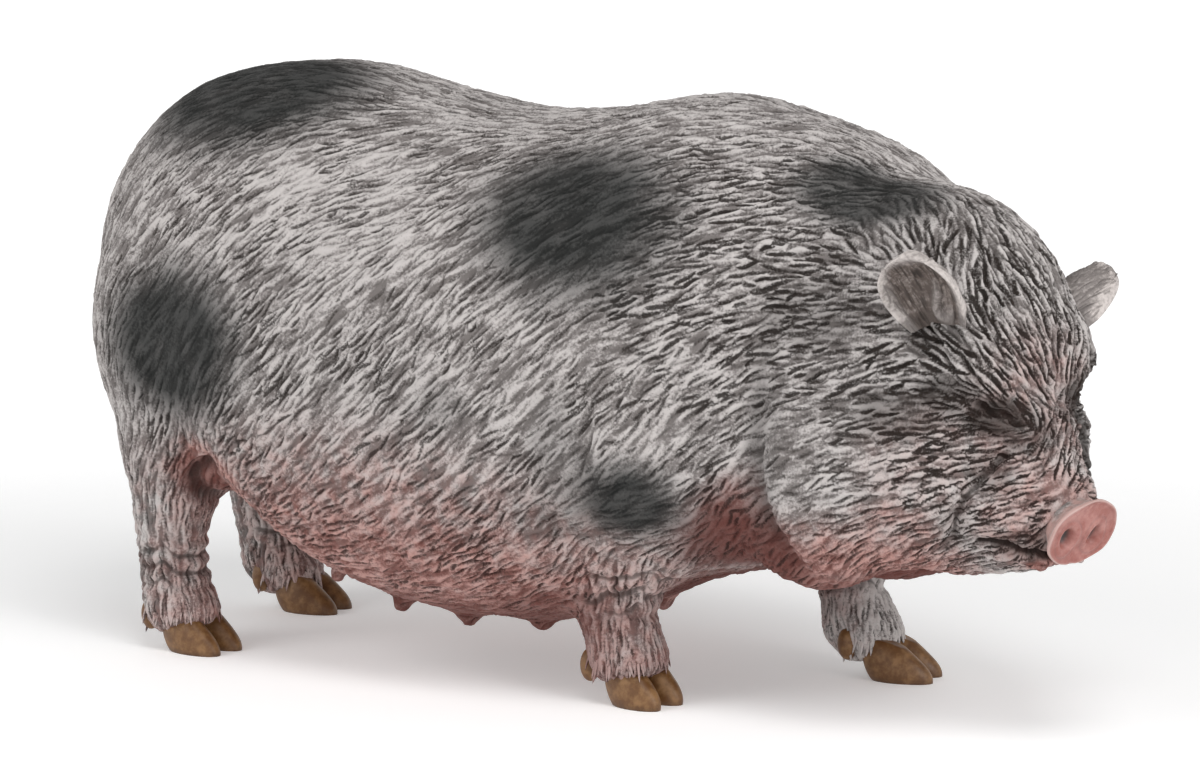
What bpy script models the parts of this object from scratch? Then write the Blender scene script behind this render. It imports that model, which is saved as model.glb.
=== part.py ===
"""A pot-bellied pig figure, about 96 mm long with its tail, of solid moulded vinyl.

Frame: +X towards the snout, +Y to the pig's left, +Z up, floor at Z = 0, origin under the middle of the
figure's box. The flesh is modelled whole from overlapping masses, fused, thinned, and then parted with
thin cuts into trunk, neck, head, jaw and legs. Hooves, dewclaws, ears, eyes, nose disc and tail are
solids of their own, seated in or on the flesh with a hairline gap.
All lengths below are millimetres and all angles are degrees.
"""

import math

import bmesh
import bpy
import numpy as np
from mathutils import Matrix, Vector

MM = 0.001
GAP = 0.3  # between neighbouring pieces
RIGHT, LEFT = -1, 1  # the sign of Y on each side

# ------------------------------------------------------------------------ driving dimensions
CENTRE_SHIFT = 0.6  # the layout below starts at mid-belly; this brings the box's middle to X = 0
HEAD_PIVOT = (20.0, 0.0)  # where the head's axis leaves the trunk's
HEAD_TURN = -20.0  # about Z: the head looks to the pig's right
NOSE = (27.0, 17.4)  # middle of the nose disc, forward and up in the head's frame
NOSE_DROP = 25.0  # how far the disc faces down
NOSE_HALF = (3.7, 3.0)  # half width and half height of the disc
NOSE_THICK = 1.3
NOSE_RIM = 0.35  # how far the disc's edge is rounded
NOSE_CLEAR = (6.0, 4.0, 6.0)  # the space cleared for the disc: half width, below and above its middle
NOSTRIL = (1.6, -0.5)  # offset across and up the disc
NOSTRIL_HALF = (0.6, 0.5, 0.75)
MOUTH = ((21.8, 16.3), (26.4, 14.0))  # from the mouth's corner to the lip, forward and up
JAW_BACK = 21.3
HEAD_START = 6.4  # the cut behind the jowls, forward in the head's frame
NECK_START = 14.5  # the cut behind the neck, in X
EYE = (22.9, 4.3, 25.5)  # forward, out, up
EYE_RADIUS = 1.0
EARS = {  # root (forward, out, up in the head's frame), then lean out, nod forwards, turn outwards
    RIGHT: ((19.2, 7.9, 34.2), 30.0, 6.0, 62.0),
    LEFT: ((18.0, 7.9, 32.8), 42.0, 8.0, 66.0),
}
EAR_SIZE = (6.7, 6.6)  # width and length
EAR_ROOT_WIDTH = 0.72  # share of the full width at the root
EAR_FULL_FROM, EAR_TIP_FROM, EAR_TIP_REACH = 0.5, 0.4, 0.62  # shares of the length
EAR_CUP = 1.5
EAR_THICK = 1.0
EAR_SUNK = 0.8  # how far the root goes in before it is trimmed

# Trunk stations from rump to neck: x, top, bottom, half width, height of the widest point.
TRUNK = (
    (-45.3, 36.4, 26.0, 5.5, 32.0),
    (-43.9, 40.6, 22.0, 9.2, 31.0),
    (-40.9, 44.5, 18.5, 12.4, 30.0),
    (-36.4, 47.4, 15.6, 15.1, 28.5),
    (-30.5, 48.6, 12.4, 17.0, 26.5),
    (-24.0, 48.9, 7.8, 18.4, 24.0),
    (-16.0, 47.2, 5.2, 19.4, 22.0),
    (-7.0, 45.8, 4.6, 19.9, 21.0),
    (2.0, 46.5, 5.6, 19.5, 21.0),
    (10.0, 47.9, 9.0, 18.6, 22.5),
    (17.0, 46.7, 10.8, 17.0, 24.0),
    (24.0, 44.6, 12.0, 14.8, 25.5),
    (30.0, 41.0, 15.0, 10.5, 27.0),
)
TRUNK_ENDS = (-46.5, 33.5)
SECTION_POWER = 2.25  # over 2 makes a section squarer than an ellipse

# Masses laid on the trunk on both sides: centre and half sizes.
TRUNK_MASSES = {
    "ham": ((-35.0, 8.0, 27.5), (9.1, 8.0, 12.8)),
    "thigh": ((-36.0, 9.2, 18.0), (5.6, 4.8, 6.6)),
    "shoulder": ((10.0, 9.8, 25.0), (9.5, 8.2, 14.5)),
}
ELBOWS = {RIGHT: (7.5, 10.0, 14.5), LEFT: (16.5, 9.6, 14.5)}
ELBOW_HALF = (5.2, 5.0, 5.4)
TEATS = ((-24.0, 6.6), (-17.5, 5.0), (-11.0, 4.4), (-4.0, 4.8), (2.5, 5.6))  # x and height
TEAT_Y = 4.4
TEAT_RADIUS = 1.1

# Masses of the head in its own frame (forward, out, up): single ones, then pairs.
HEAD_MASSES = {
    "cranium": ((10.4, 0.0, 29.8), (12.6, 11.2, 12.6)),
    "throat": ((6.0, 0.0, 19.0), (12.0, 10.0, 8.2)),
    "bridge": ((21.6, 0.0, 22.6), (4.4, 4.0, 5.4)),
    "chin": ((18.8, 0.0, 16.2), (7.2, 4.6, 3.1)),
}
HEAD_PAIRS = {
    "brow": ((18.6, 4.0, 29.2), (5.2, 4.3, 4.8)),
    "cheek": ((14.8, 6.0, 20.6), (6.0, 5.2, 7.3)),
    "jowl": ((7.5, 8.2, 20.6), (9.5, 6.8, 9.6)),
}
MUZZLE = ((16.0, 19.4, 7.6), (21.5, 18.8, 5.2), (26.2, 17.6, 3.2))  # forward, up, radius
MUZZLE_BREADTH = 1.2

# Legs: foot place, how far the toes turn out, then x offset, height and radius up the leg.
LEGS = {
    "front_right": ((7.9, RIGHT * 9.4), 10.0, (
        (-0.9, 1.6, 2.9), (-1.2, 4.7, 3.0), (-2.2, 7.0, 3.2), (-1.8, 9.0, 3.0), (-1.2, 12.0, 3.4),
        (-0.4, 17.0, 4.6))),
    "front_left": ((21.5, LEFT * 9.4), 10.0, (
        (-1.5, 1.6, 2.8), (-3.1, 3.7, 3.1), (-4.2, 6.2, 2.8), (-4.7, 9.0, 3.0), (-4.6, 12.0, 3.5),
        (-4.2, 17.0, 4.6))),
    "hind_right": ((-34.3, RIGHT * 9.4), 6.0, (
        (-0.9, 1.6, 2.9), (-1.9, 4.1, 3.1), (-2.5, 7.5, 2.9), (-2.5, 12.5, 3.6), (-1.6, 17.5, 4.6))),
    "hind_left": ((-35.4, LEFT * 9.4), 6.0, (
        (-1.2, 1.6, 2.9), (-3.4, 4.6, 3.1), (-4.6, 7.9, 2.8), (-4.9, 11.0, 3.2), (-2.2, 17.0, 4.8))),
}
LEG_CUT = {"front": (13.5, 5.2, 5.0), "hind": (17.0, 6.6, 5.6)}  # height, half length, half width
LEG_CUT_TILT = 0.45  # the cut climbs outwards
HOOF_HALF = (2.75, 1.2, 2.7)
HOOF_AHEAD = 0.6  # a toe's middle ahead of the foot's middle
HOOF_MIDDLE = 1.1  # height of a toe's widest point
HOOF_SPREAD = 1.4  # a toe's middle from the foot's middle
HOOF_RAKE = 0.35  # how far the front wall leans back for each unit of height
HOOF_TOP = (2.3, 0.32)  # height of the hair line over the foot's middle, and its rise forwards
DEWCLAW = (-4.2, 1.7, 2.9)
DEWCLAW_HALF = (0.95, 0.85, 1.5)

TAIL = (
    (-43.4, 39.6, 1.5), (-45.9, 36.8, 1.4), (-47.0, 31.6, 1.25), (-46.9, 25.5, 1.15),
    (-47.0, 20.6, 1.2), (-47.2, 18.0, 1.5), (-47.1, 15.4, 0.5),
)  # x, height, radius
TAIL_Y = -0.4

VOXEL = 0.7
SMOOTHING = 8
FLESH_TRIANGLES = 3600
FAR = 80.0  # longer than any piece

PAINT = {  # base colour and roughness
    "hide": ((0.33, 0.30, 0.28), 0.55),
    "skin_pink": ((0.55, 0.24, 0.20), 0.5),
    "hoof": ((0.30, 0.17, 0.06), 0.42),
    "eye": ((0.02, 0.015, 0.012), 0.2),
}


# ------------------------------------------------------------------------ small tools
def clear_scene():
    for thing in list(bpy.data.objects):
        bpy.data.objects.remove(thing)


def painted(name):
    """A plain Principled finish: painted vinyl is never metallic."""
    colour, roughness = PAINT[name]
    made = bpy.data.materials.new(name)
    made.use_nodes = True
    shader = made.node_tree.nodes["Principled BSDF"]
    shader.inputs["Base Color"].default_value = (*colour, 1.0)
    shader.inputs["Roughness"].default_value = roughness
    shader.inputs["Metallic"].default_value = 0.0
    return made


def new_object(name, mesh):
    """Turns a bmesh into an object of the scene."""
    bmesh.ops.recalc_face_normals(mesh, faces=mesh.faces)
    data = bpy.data.meshes.new(name)
    mesh.to_mesh(data)
    mesh.free()
    made = bpy.data.objects.new(name, data)
    bpy.context.scene.collection.objects.link(made)
    return made


def apply_modifiers(thing):
    """The object's evaluated mesh takes the place of its modifiers."""
    graph = bpy.context.evaluated_depsgraph_get()
    data = bpy.data.meshes.new_from_object(thing.evaluated_get(graph))
    thing.modifiers.clear()
    thing.data = data
    return thing


def boolean(thing, cutter, operation):
    """Cuts a thing by a cutter, or keeps what they share."""
    step = thing.modifiers.new("cut", "BOOLEAN")
    step.operation = operation
    step.solver = "EXACT"
    step.object = cutter
    apply_modifiers(thing)


def drop(thing):
    bpy.data.objects.remove(thing)


def copy_of(thing, name):
    made = thing.copy()
    made.data = thing.data.copy()
    made.name = name
    bpy.context.scene.collection.objects.link(made)
    return made


def cut_off(body, name, plug):
    """Takes the share of the body inside a plug, and leaves a gap where it was parted.

    plug(grow) makes the cutter, grown by that much on every side.
    """
    taken = copy_of(body, name)
    exact, grown = plug(0.0), plug(GAP)
    boolean(taken, exact, "INTERSECT")
    boolean(body, grown, "DIFFERENCE")
    drop(exact)
    drop(grown)
    return taken


def carve(body, plug, grow=GAP):
    """Removes a plug's space from the body."""
    cutter = plug(grow)
    boolean(body, cutter, "DIFFERENCE")
    drop(cutter)


def seat(thing, flesh):
    """Trims a thing where it would enter the flesh, a gap clear of its surface."""
    shell = copy_of(flesh, "shell")
    swell = shell.modifiers.new("swell", "DISPLACE")
    swell.mid_level = 0.0
    swell.strength = GAP * MM
    apply_modifiers(shell)
    boolean(thing, shell, "DIFFERENCE")
    drop(shell)


def smooth_rows(rows, count):
    """Rows read at even steps along a smooth curve through them (Catmull-Rom)."""
    rows = np.array(rows, float)
    at = np.linspace(0, len(rows) - 1, count)
    i = np.clip(at.astype(int), 0, len(rows) - 2)
    t = (at - i)[:, None]
    before, after = rows[np.clip(i - 1, 0, None)], rows[np.clip(i + 2, None, len(rows) - 1)]
    a, b = rows[i], rows[i + 1]
    bend = 2 * before - 5 * a + 4 * b - after
    twist = 3 * a - before - 3 * b + after
    return 0.5 * (2 * a + (b - before) * t + bend * t**2 + twist * t**3)


def head_frame():
    """Takes the head's own frame (forward, left, up) to the figure's, in metres."""
    turn = Matrix.Rotation(math.radians(HEAD_TURN), 4, "Z")
    return Matrix.Translation((HEAD_PIVOT[0] * MM, HEAD_PIVOT[1] * MM, 0)) @ turn


def nose_frame():
    """Takes the disc's frame (out of the disc, left, up the disc) to the figure's."""
    drop_turn = Matrix.Rotation(math.radians(NOSE_DROP), 4, "Y")
    place = Matrix.Translation((NOSE[0] * MM, 0, NOSE[1] * MM))
    return head_frame() @ place @ drop_turn


# ------------------------------------------------------------------------ masses
def add_ellipsoid(mesh, centre, half, frame=None, segments=24, rings=16):
    """One mass of the body: a sphere stretched to its half sizes."""
    place = frame or Matrix.Identity(4)
    place = place @ Matrix.Translation(Vector(centre) * MM)
    place = place @ Matrix.Diagonal((*(Vector(half) * MM), 1.0))
    bmesh.ops.create_uvsphere(mesh, u_segments=segments, v_segments=rings, radius=1.0, matrix=place)


def add_pair(mesh, centre, half, frame=None):
    for side in (RIGHT, LEFT):
        add_ellipsoid(mesh, (centre[0], side * centre[1], centre[2]), half, frame)


def add_trunk(mesh, around=40, along=46):
    """The barrel: a loft of egg-shaped sections, widest below the middle, with a pole at each end."""
    angles = [2 * math.pi * k / around for k in range(around)]
    rings = []
    for x, top, bottom, half, middle in smooth_rows(TRUNK, along):
        ring = []
        for angle in angles:
            c, s = math.cos(angle), math.sin(angle)
            reach = (top - middle) if s > 0 else (middle - bottom)
            y = half * math.copysign(abs(c) ** (2 / SECTION_POWER), c)
            z = middle + reach * math.copysign(abs(s) ** (2 / SECTION_POWER), s)
            ring.append(mesh.verts.new((x * MM, y * MM, z * MM)))
        rings.append(ring)
    for ring, after in zip(rings, rings[1:]):
        for k in range(around):
            n = (k + 1) % around
            mesh.faces.new((ring[k], ring[n], after[n], after[k]))
    for ring, x in ((rings[0], TRUNK_ENDS[0]), (rings[-1], TRUNK_ENDS[1])):
        pole = mesh.verts.new((x * MM, 0, sum(v.co.z for v in ring) / around))
        for k in range(around):
            mesh.faces.new((ring[k], ring[(k + 1) % around], pole))


def tube_mesh(points, bevel_resolution=4, steps=5):
    """A limb: a smooth curve whose bevel swells and thins along it, as a closed mesh."""
    curve = bpy.data.curves.new("limb", "CURVE")
    curve.dimensions = "3D"
    curve.bevel_depth = MM
    curve.bevel_resolution = bevel_resolution
    curve.use_fill_caps = True
    spline = curve.splines.new("POLY")
    rows = smooth_rows(points, steps * len(points))
    spline.points.add(len(rows) - 1)
    for point, (x, y, z, radius) in zip(spline.points, rows):
        point.co = (x * MM, y * MM, z * MM, 1)
        point.radius = radius
    holder = bpy.data.objects.new("limb", curve)
    bpy.context.scene.collection.objects.link(holder)
    graph = bpy.context.evaluated_depsgraph_get()
    data = bpy.data.meshes.new_from_object(holder.evaluated_get(graph))
    drop(holder)
    mesh = bmesh.new()
    mesh.from_mesh(data)
    bpy.data.meshes.remove(data)
    bmesh.ops.remove_doubles(mesh, verts=mesh.verts, dist=0.001 * MM)
    return mesh


def add_tube(mesh, points, matrix=None):
    limb = tube_mesh(points)
    if matrix:
        bmesh.ops.transform(limb, matrix=matrix, verts=limb.verts)
    data = bpy.data.meshes.new("limb")
    limb.to_mesh(data)
    limb.free()
    mesh.from_mesh(data)
    bpy.data.meshes.remove(data)


def fused_flesh():
    """All the masses made one smooth closed body, then thinned to its share of triangles."""
    mesh = bmesh.new()
    head = head_frame()
    add_trunk(mesh)
    for centre, half in TRUNK_MASSES.values():
        add_pair(mesh, centre, half)
    for side, (x, out, z) in ELBOWS.items():
        add_ellipsoid(mesh, (x, side * out, z), ELBOW_HALF)
    for x, z in TEATS:
        add_pair(mesh, (x, TEAT_Y, z), (TEAT_RADIUS,) * 3)
    for centre, half in HEAD_MASSES.values():
        add_ellipsoid(mesh, centre, half, head)
    for centre, half in HEAD_PAIRS.values():
        add_pair(mesh, centre, half, head)
    broad = head @ Matrix.Diagonal((1.0, MUZZLE_BREADTH, 1.0, 1.0))
    add_tube(mesh, [(h, 0.0, z, radius) for h, z, radius in MUZZLE], broad)
    for (x, y), _, path in LEGS.values():
        add_tube(mesh, [(x + dx, y, z, radius) for dx, z, radius in path])
    body = new_object("flesh", mesh)
    fuse = body.modifiers.new("fuse", "REMESH")
    fuse.mode = "VOXEL"
    fuse.voxel_size = VOXEL * MM
    soften = body.modifiers.new("soften", "SMOOTH")
    soften.factor = 0.5
    soften.iterations = SMOOTHING
    apply_modifiers(body)
    body.data.calc_loop_triangles()
    thin = body.modifiers.new("thin", "DECIMATE")
    thin.ratio = FLESH_TRIANGLES / len(body.data.loop_triangles)
    return apply_modifiers(body)


# ------------------------------------------------------------------------ cutters
def box_plug(frame, low, high):
    """A box between two corners of a frame, given as a function of its growth."""
    def make(grow):
        size = [(b - a + 2 * grow) * MM for a, b in zip(low, high)]
        middle = Vector([(a + b) / 2 for a, b in zip(low, high)]) * MM
        mesh = bmesh.new()
        place = frame @ Matrix.Translation(middle) @ Matrix.Diagonal((*size, 1.0))
        bmesh.ops.create_cube(mesh, size=1.0, matrix=place)
        return new_object("plug", mesh)
    return make


def ellipsoid_plug(centre, half, frame=None, segments=16, rings=10):
    def make(grow):
        mesh = bmesh.new()
        add_ellipsoid(mesh, centre, [h + grow for h in half], frame, segments, rings)
        return new_object("plug", mesh)
    return make


def leg_plug(name):
    """An upright oval plug round a leg, whose top climbs outwards."""
    (x, y), _, path = LEGS[name]
    top, half_long, half_wide = LEG_CUT[name.split("_")[0]]
    middle = x + path[-2][0]
    side = math.copysign(1, y)

    def make(grow):
        mesh = bmesh.new()
        height = top + grow + FAR
        place = Matrix.Translation((middle * MM, y * MM, (top + grow - FAR) / 2 * MM))
        place = place @ Matrix.Diagonal(((half_long + grow) * MM, (half_wide + grow) * MM, height * MM, 1))
        bmesh.ops.create_cone(
            mesh, cap_ends=True, segments=20, radius1=1.0, radius2=1.0, depth=1.0, matrix=place
        )
        for vertex in mesh.verts:
            if vertex.co.z > 0:
                vertex.co.z += LEG_CUT_TILT * (side * vertex.co.y - abs(y) * MM)
        return new_object("plug", mesh)
    return make


def hair_line_frame(name):
    """The frame of a foot's sloping hair line: its X runs forwards and up, its Z out of the hoof."""
    (x, y), toe_out, _ = LEGS[name]
    turn = Matrix.Rotation(math.radians(math.copysign(toe_out, y)), 4, "Z")
    rise = Matrix.Rotation(-math.atan(HOOF_TOP[1]), 4, "Y")
    return Matrix.Translation((x * MM, y * MM, HOOF_TOP[0] * MM)) @ turn @ rise


# ------------------------------------------------------------------------ pieces
def make_toe(name, leg, across):
    """One cloven toe: an ovoid raked back, cut flat on the floor and along the hair line."""
    (x, y), toe_out, _ = LEGS[leg]
    foot = Matrix.Translation((x * MM, y * MM, 0)) @ Matrix.Rotation(
        math.radians(math.copysign(toe_out, y)), 4, "Z"
    )
    rake = Matrix.Identity(4)
    rake[0][2] = -HOOF_RAKE
    mesh = bmesh.new()
    centre = (HOOF_AHEAD, across * HOOF_SPREAD, HOOF_MIDDLE)
    add_ellipsoid(mesh, centre, HOOF_HALF, foot @ rake, 14, 8)
    line = hair_line_frame(leg)
    normal = line.to_3x3() @ Vector((0, 0, 1))
    top = line.translation - normal * GAP * MM
    for point, out in ((Vector((0, 0, 0)), Vector((0, 0, -1))), (top, normal)):
        geometry = mesh.verts[:] + mesh.edges[:] + mesh.faces[:]
        cut = bmesh.ops.bisect_plane(mesh, geom=geometry, plane_co=point, plane_no=out, clear_outer=True)
        edges = [item for item in cut["geom_cut"] if isinstance(item, bmesh.types.BMEdge)]
        bmesh.ops.contextual_create(mesh, geom=edges)
    return new_object(name, mesh)


def make_leg_parts(flesh, parts):
    for leg, ((x, y), toe_out, _) in LEGS.items():
        end, hand = leg.split("_")
        name = f"leg_{end}_{hand}"
        limb = cut_off(flesh, name, leg_plug(leg))
        under = box_plug(hair_line_frame(leg), (-FAR, -FAR, -FAR), (FAR, FAR, 0.0))
        carve(limb, under, 0.0)
        turn = Matrix.Rotation(math.radians(math.copysign(toe_out, y)), 4, "Z")
        foot = Matrix.Translation((x * MM, y * MM, 0)) @ turn
        side = math.copysign(1, y)
        for label, across in (("outer", side), ("inner", -side)):
            toe = f"hoof_{end}_{hand}_{label}"
            parts[toe] = (make_toe(toe, leg, across), "hoof")
            claw = ellipsoid_plug(
                (DEWCLAW[0], across * DEWCLAW[1], DEWCLAW[2]), DEWCLAW_HALF, foot, 10, 6
            )
            carve(limb, claw)
            made = claw(0.0)
            made.name = f"dewclaw_{end}_{hand}_{label}"
            parts[made.name] = (made, "hoof")
        parts[name] = (limb, "hide")


def jaw_plug(grow):
    """A wedge under the mouth's line and ahead of the jaw's back, across the whole head."""
    (h0, z0), (h1, z1) = MOUTH
    slope = (z1 - z0) / (h1 - h0)
    mesh = bmesh.new()
    bmesh.ops.create_cube(mesh, size=1.0)
    back, front = JAW_BACK - grow, JAW_BACK + FAR
    for vertex in mesh.verts:
        h = back if vertex.co.x < 0 else front
        z = -FAR if vertex.co.z < 0 else z0 + slope * (h - h0) + grow
        vertex.co = Vector((h, math.copysign(FAR, vertex.co.y), z)) * MM
    bmesh.ops.transform(mesh, matrix=head_frame(), verts=mesh.verts)
    return new_object("plug", mesh)


def make_nose():
    """The flat disc at the end of the snout, its rim rounded, with two nostrils sunk in it."""
    mesh = bmesh.new()
    out = Matrix.Rotation(math.radians(90), 4, "Y")
    half_y, half_z = NOSE_HALF
    scale = Matrix.Diagonal((NOSE_THICK * MM, half_y * MM, half_z * MM, 1.0))
    bmesh.ops.create_cone(
        mesh, cap_ends=True, segments=24, radius1=1.0, radius2=1.0, depth=1.0,
        matrix=nose_frame() @ scale @ out,
    )
    disc = new_object("snout_disc", mesh)
    round_off = disc.modifiers.new("rim", "BEVEL")
    round_off.width = NOSE_RIM * MM
    round_off.segments = 1
    apply_modifiers(disc)
    for side in (RIGHT, LEFT):
        centre = (NOSE_THICK / 2, side * NOSTRIL[0], NOSTRIL[1])
        carve(disc, ellipsoid_plug(centre, NOSTRIL_HALF, nose_frame(), 10, 6), 0.0)
    return disc


def ear_half_width(up):
    """Half the ear's width at a share of its length: narrow at the root, full, then round-tipped."""
    swell = math.sin(0.5 * math.pi * min(1.0, up / EAR_FULL_FROM))
    root = EAR_ROOT_WIDTH + (1 - EAR_ROOT_WIDTH) * swell
    tip = math.sqrt(1 - (max(0.0, up - EAR_TIP_FROM) / EAR_TIP_REACH) ** 2)
    return 0.5 * EAR_SIZE[0] * root * tip


def make_ear(name, side, columns=8, rows=7):
    """A round-tipped cup, its rim curled forwards, given its thickness by Solidify."""
    root, lean, nod, turn = EARS[side]
    mesh = bmesh.new()
    grid = []
    for j in range(rows + 1):
        half = ear_half_width(j / rows)
        height = j / rows * EAR_SIZE[1] - EAR_SUNK
        line = []
        for i in range(columns + 1):
            across = 2 * i / columns - 1
            ahead = EAR_CUP * across**2 * half / (0.5 * EAR_SIZE[0])
            line.append(mesh.verts.new((ahead * MM, across * half * MM, height * MM)))
        grid.append(line)
    for lower, upper in zip(grid, grid[1:]):
        for i in range(columns):
            mesh.faces.new((lower[i], lower[i + 1], upper[i + 1], upper[i]))
    forward, out, up = root
    place = head_frame() @ Matrix.Translation(Vector((forward, side * out, up)) * MM)
    place = place @ Matrix.Rotation(math.radians(-side * lean), 4, "X")
    place = place @ Matrix.Rotation(math.radians(nod), 4, "Y")
    place = place @ Matrix.Rotation(math.radians(side * turn), 4, "Z")
    bmesh.ops.transform(mesh, matrix=place, verts=mesh.verts)
    ear = new_object(name, mesh)
    shell = ear.modifiers.new("shell", "SOLIDIFY")
    shell.thickness = EAR_THICK * MM
    shell.offset = 0.0
    return apply_modifiers(ear)


def make_tail(flesh):
    tail = new_object("tail", tube_mesh([(x, TAIL_Y, z, r) for x, z, r in TAIL], 2, 2))
    seat(tail, flesh)
    return tail


def build():
    clear_scene()
    parts = {}
    flesh = fused_flesh()
    whole = copy_of(flesh, "whole")
    make_leg_parts(flesh, parts)
    far = (-FAR, -FAR), (FAR, FAR)
    head = cut_off(flesh, "head", box_plug(head_frame(), (HEAD_START, *far[0]), (FAR, *far[1])))
    neck = cut_off(flesh, "neck", box_plug(Matrix.Identity(4), (NECK_START, *far[0]), (FAR, *far[1])))
    flesh.name = "trunk"
    jaw = cut_off(head, "jaw", jaw_plug)
    half_wide, below, above = NOSE_CLEAR
    behind = -NOSE_THICK / 2 - GAP
    carve(head, box_plug(nose_frame(), (behind, -half_wide, -below), (FAR, half_wide, above)), 0.0)
    for label, side in (("right", RIGHT), ("left", LEFT)):
        eye = ellipsoid_plug((EYE[0], side * EYE[1], EYE[2]), (EYE_RADIUS,) * 3, head_frame(), 12, 8)
        carve(head, eye)
        ball = eye(0.0)
        ball.name = f"eye_{label}"
        parts[ball.name] = (ball, "eye")
        ear = make_ear(f"ear_{label}", side)
        seat(ear, whole)
        parts[ear.name] = (ear, "hide")
    parts["snout_disc"] = (make_nose(), "skin_pink")
    parts["tail"] = (make_tail(whole), "hide")
    for thing in (head, neck, jaw, flesh):
        parts[thing.name] = (thing, "hide")
    drop(whole)
    return parts


def finish(parts):
    """Puts the pieces in their collection, centred, with their materials."""
    group = bpy.data.collections.new("pot_bellied_pig_figure")
    bpy.context.scene.collection.children.link(group)
    finishes = {name: painted(name) for name in PAINT}
    for name, (thing, finish_name) in parts.items():
        thing.name = name
        thing.data.name = name
        thing.data.transform(Matrix.Translation((CENTRE_SHIFT * MM, 0, 0)))
        thing.data.materials.clear()
        thing.data.materials.append(finishes[finish_name])
        thing.data.shade_smooth()
        bpy.context.scene.collection.objects.unlink(thing)
        group.objects.link(thing)


finish(build())
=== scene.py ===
# A pot-bellied pig figure in painted vinyl: its sculpted hide, ears, nose disc, eyes and hooves,
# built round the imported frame. Shapes are worked out in millimetres and written to the meshes in metres.
import math

import bpy
import numpy as np
from mathutils import Matrix, Vector


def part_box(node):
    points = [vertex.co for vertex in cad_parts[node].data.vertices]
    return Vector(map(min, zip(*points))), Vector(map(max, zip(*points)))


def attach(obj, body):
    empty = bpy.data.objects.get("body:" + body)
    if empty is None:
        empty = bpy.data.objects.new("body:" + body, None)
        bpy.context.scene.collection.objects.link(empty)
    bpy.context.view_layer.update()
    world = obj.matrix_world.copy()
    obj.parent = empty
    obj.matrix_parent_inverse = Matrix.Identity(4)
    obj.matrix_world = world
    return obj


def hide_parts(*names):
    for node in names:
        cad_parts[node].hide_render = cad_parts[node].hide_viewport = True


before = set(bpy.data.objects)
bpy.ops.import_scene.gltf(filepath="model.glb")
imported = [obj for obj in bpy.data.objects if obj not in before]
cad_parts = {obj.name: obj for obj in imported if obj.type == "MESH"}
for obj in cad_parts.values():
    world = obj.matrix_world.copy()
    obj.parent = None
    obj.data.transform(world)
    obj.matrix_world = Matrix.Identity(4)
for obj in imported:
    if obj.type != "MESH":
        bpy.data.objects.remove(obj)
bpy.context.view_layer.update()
mm = 0.001
sides = {"right": -1, "left": 1}
legs = [(end, hand) for end in ("front", "hind") for hand in sides]
dice = np.random.default_rng(20)


# arrays
def unit(vectors):
    return vectors / np.maximum(np.linalg.norm(vectors, axis=-1, keepdims=True), 1e-9)


def dot(a, b):
    return np.einsum("...k,...k->...", a, b)


def softStep(value, low, high):  # 0 below low, 1 above high, smooth between
    t = np.clip((value - low) / (high - low), 0, 1)
    return t * t * (3 - 2 * t)


def smoothLine(rows, count):  # a Catmull-Rom curve through the rows, read at even steps
    rows = np.array(rows, float)
    at = np.linspace(0, len(rows) - 1, count)
    i = np.clip(at.astype(int), 0, len(rows) - 2)
    t = (at - i)[:, None]
    before, after = rows[np.clip(i - 1, 0, None)], rows[np.clip(i + 2, None, len(rows) - 1)]
    a, b = rows[i], rows[i + 1]
    bend = 2 * before - 5 * a + 4 * b - after
    twist = 3 * a - before - 3 * b + after
    return 0.5 * (2 * a + (b - before) * t + bend * t**2 + twist * t**3)


def pointNormals(points, faces):
    # each point's normal is the sum of its faces' cross products: of a quad's diagonals or a triangle's edges
    a, b, c, d = (points[faces[:, k]] for k in (0, -3, -2, -1))
    face = np.repeat(np.cross(c - a, d - b), faces.shape[1], axis=0)
    return unit(np.stack([np.bincount(faces.ravel(), face[:, k], len(points)) for k in range(3)], 1))


def evened(values, quads, rounds):  # each round moves a point's value half way to its neighbours' mean
    corners, after = quads.ravel(), np.roll(quads, -1, 1).ravel()
    count = np.bincount(corners)
    for _ in range(rounds):
        values = 0.5 * values + 0.5 * np.bincount(corners, values[after]) / count
    return values


def nearPairs(points, centres, reach):
    # sorts points into cubes of one reach and yields, for the nine columns of cubes round each centre,
    # the pairs (centre, point) found there
    low = points.min(0) - 2 * reach
    span = np.ceil((points.max(0) - low) / reach).astype(np.int64) + 4

    def keyOf(places):
        cell = np.floor((places - low) / reach).astype(np.int64)
        return (cell[:, 0] * span[1] + cell[:, 1]) * span[2] + cell[:, 2]

    keys = keyOf(points)
    order = np.argsort(keys, kind="stable")
    keys, home = keys[order], keyOf(centres)
    for dx in (-1, 0, 1):
        for dy in (-1, 0, 1):
            column = home + (dx * span[1] + dy) * span[2]
            first = np.searchsorted(keys, column - 1, "left")
            count = np.searchsorted(keys, column + 1, "right") - first
            centre = np.repeat(np.arange(len(centres)), count)
            step = np.arange(len(centre)) - np.repeat(np.cumsum(count) - count, count)
            yield centre, order[step + np.repeat(first, count)]


# meshes
def newObject(name, data):
    made = bpy.data.objects.new(name, data)
    bpy.context.scene.collection.objects.link(made)
    return made


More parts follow.
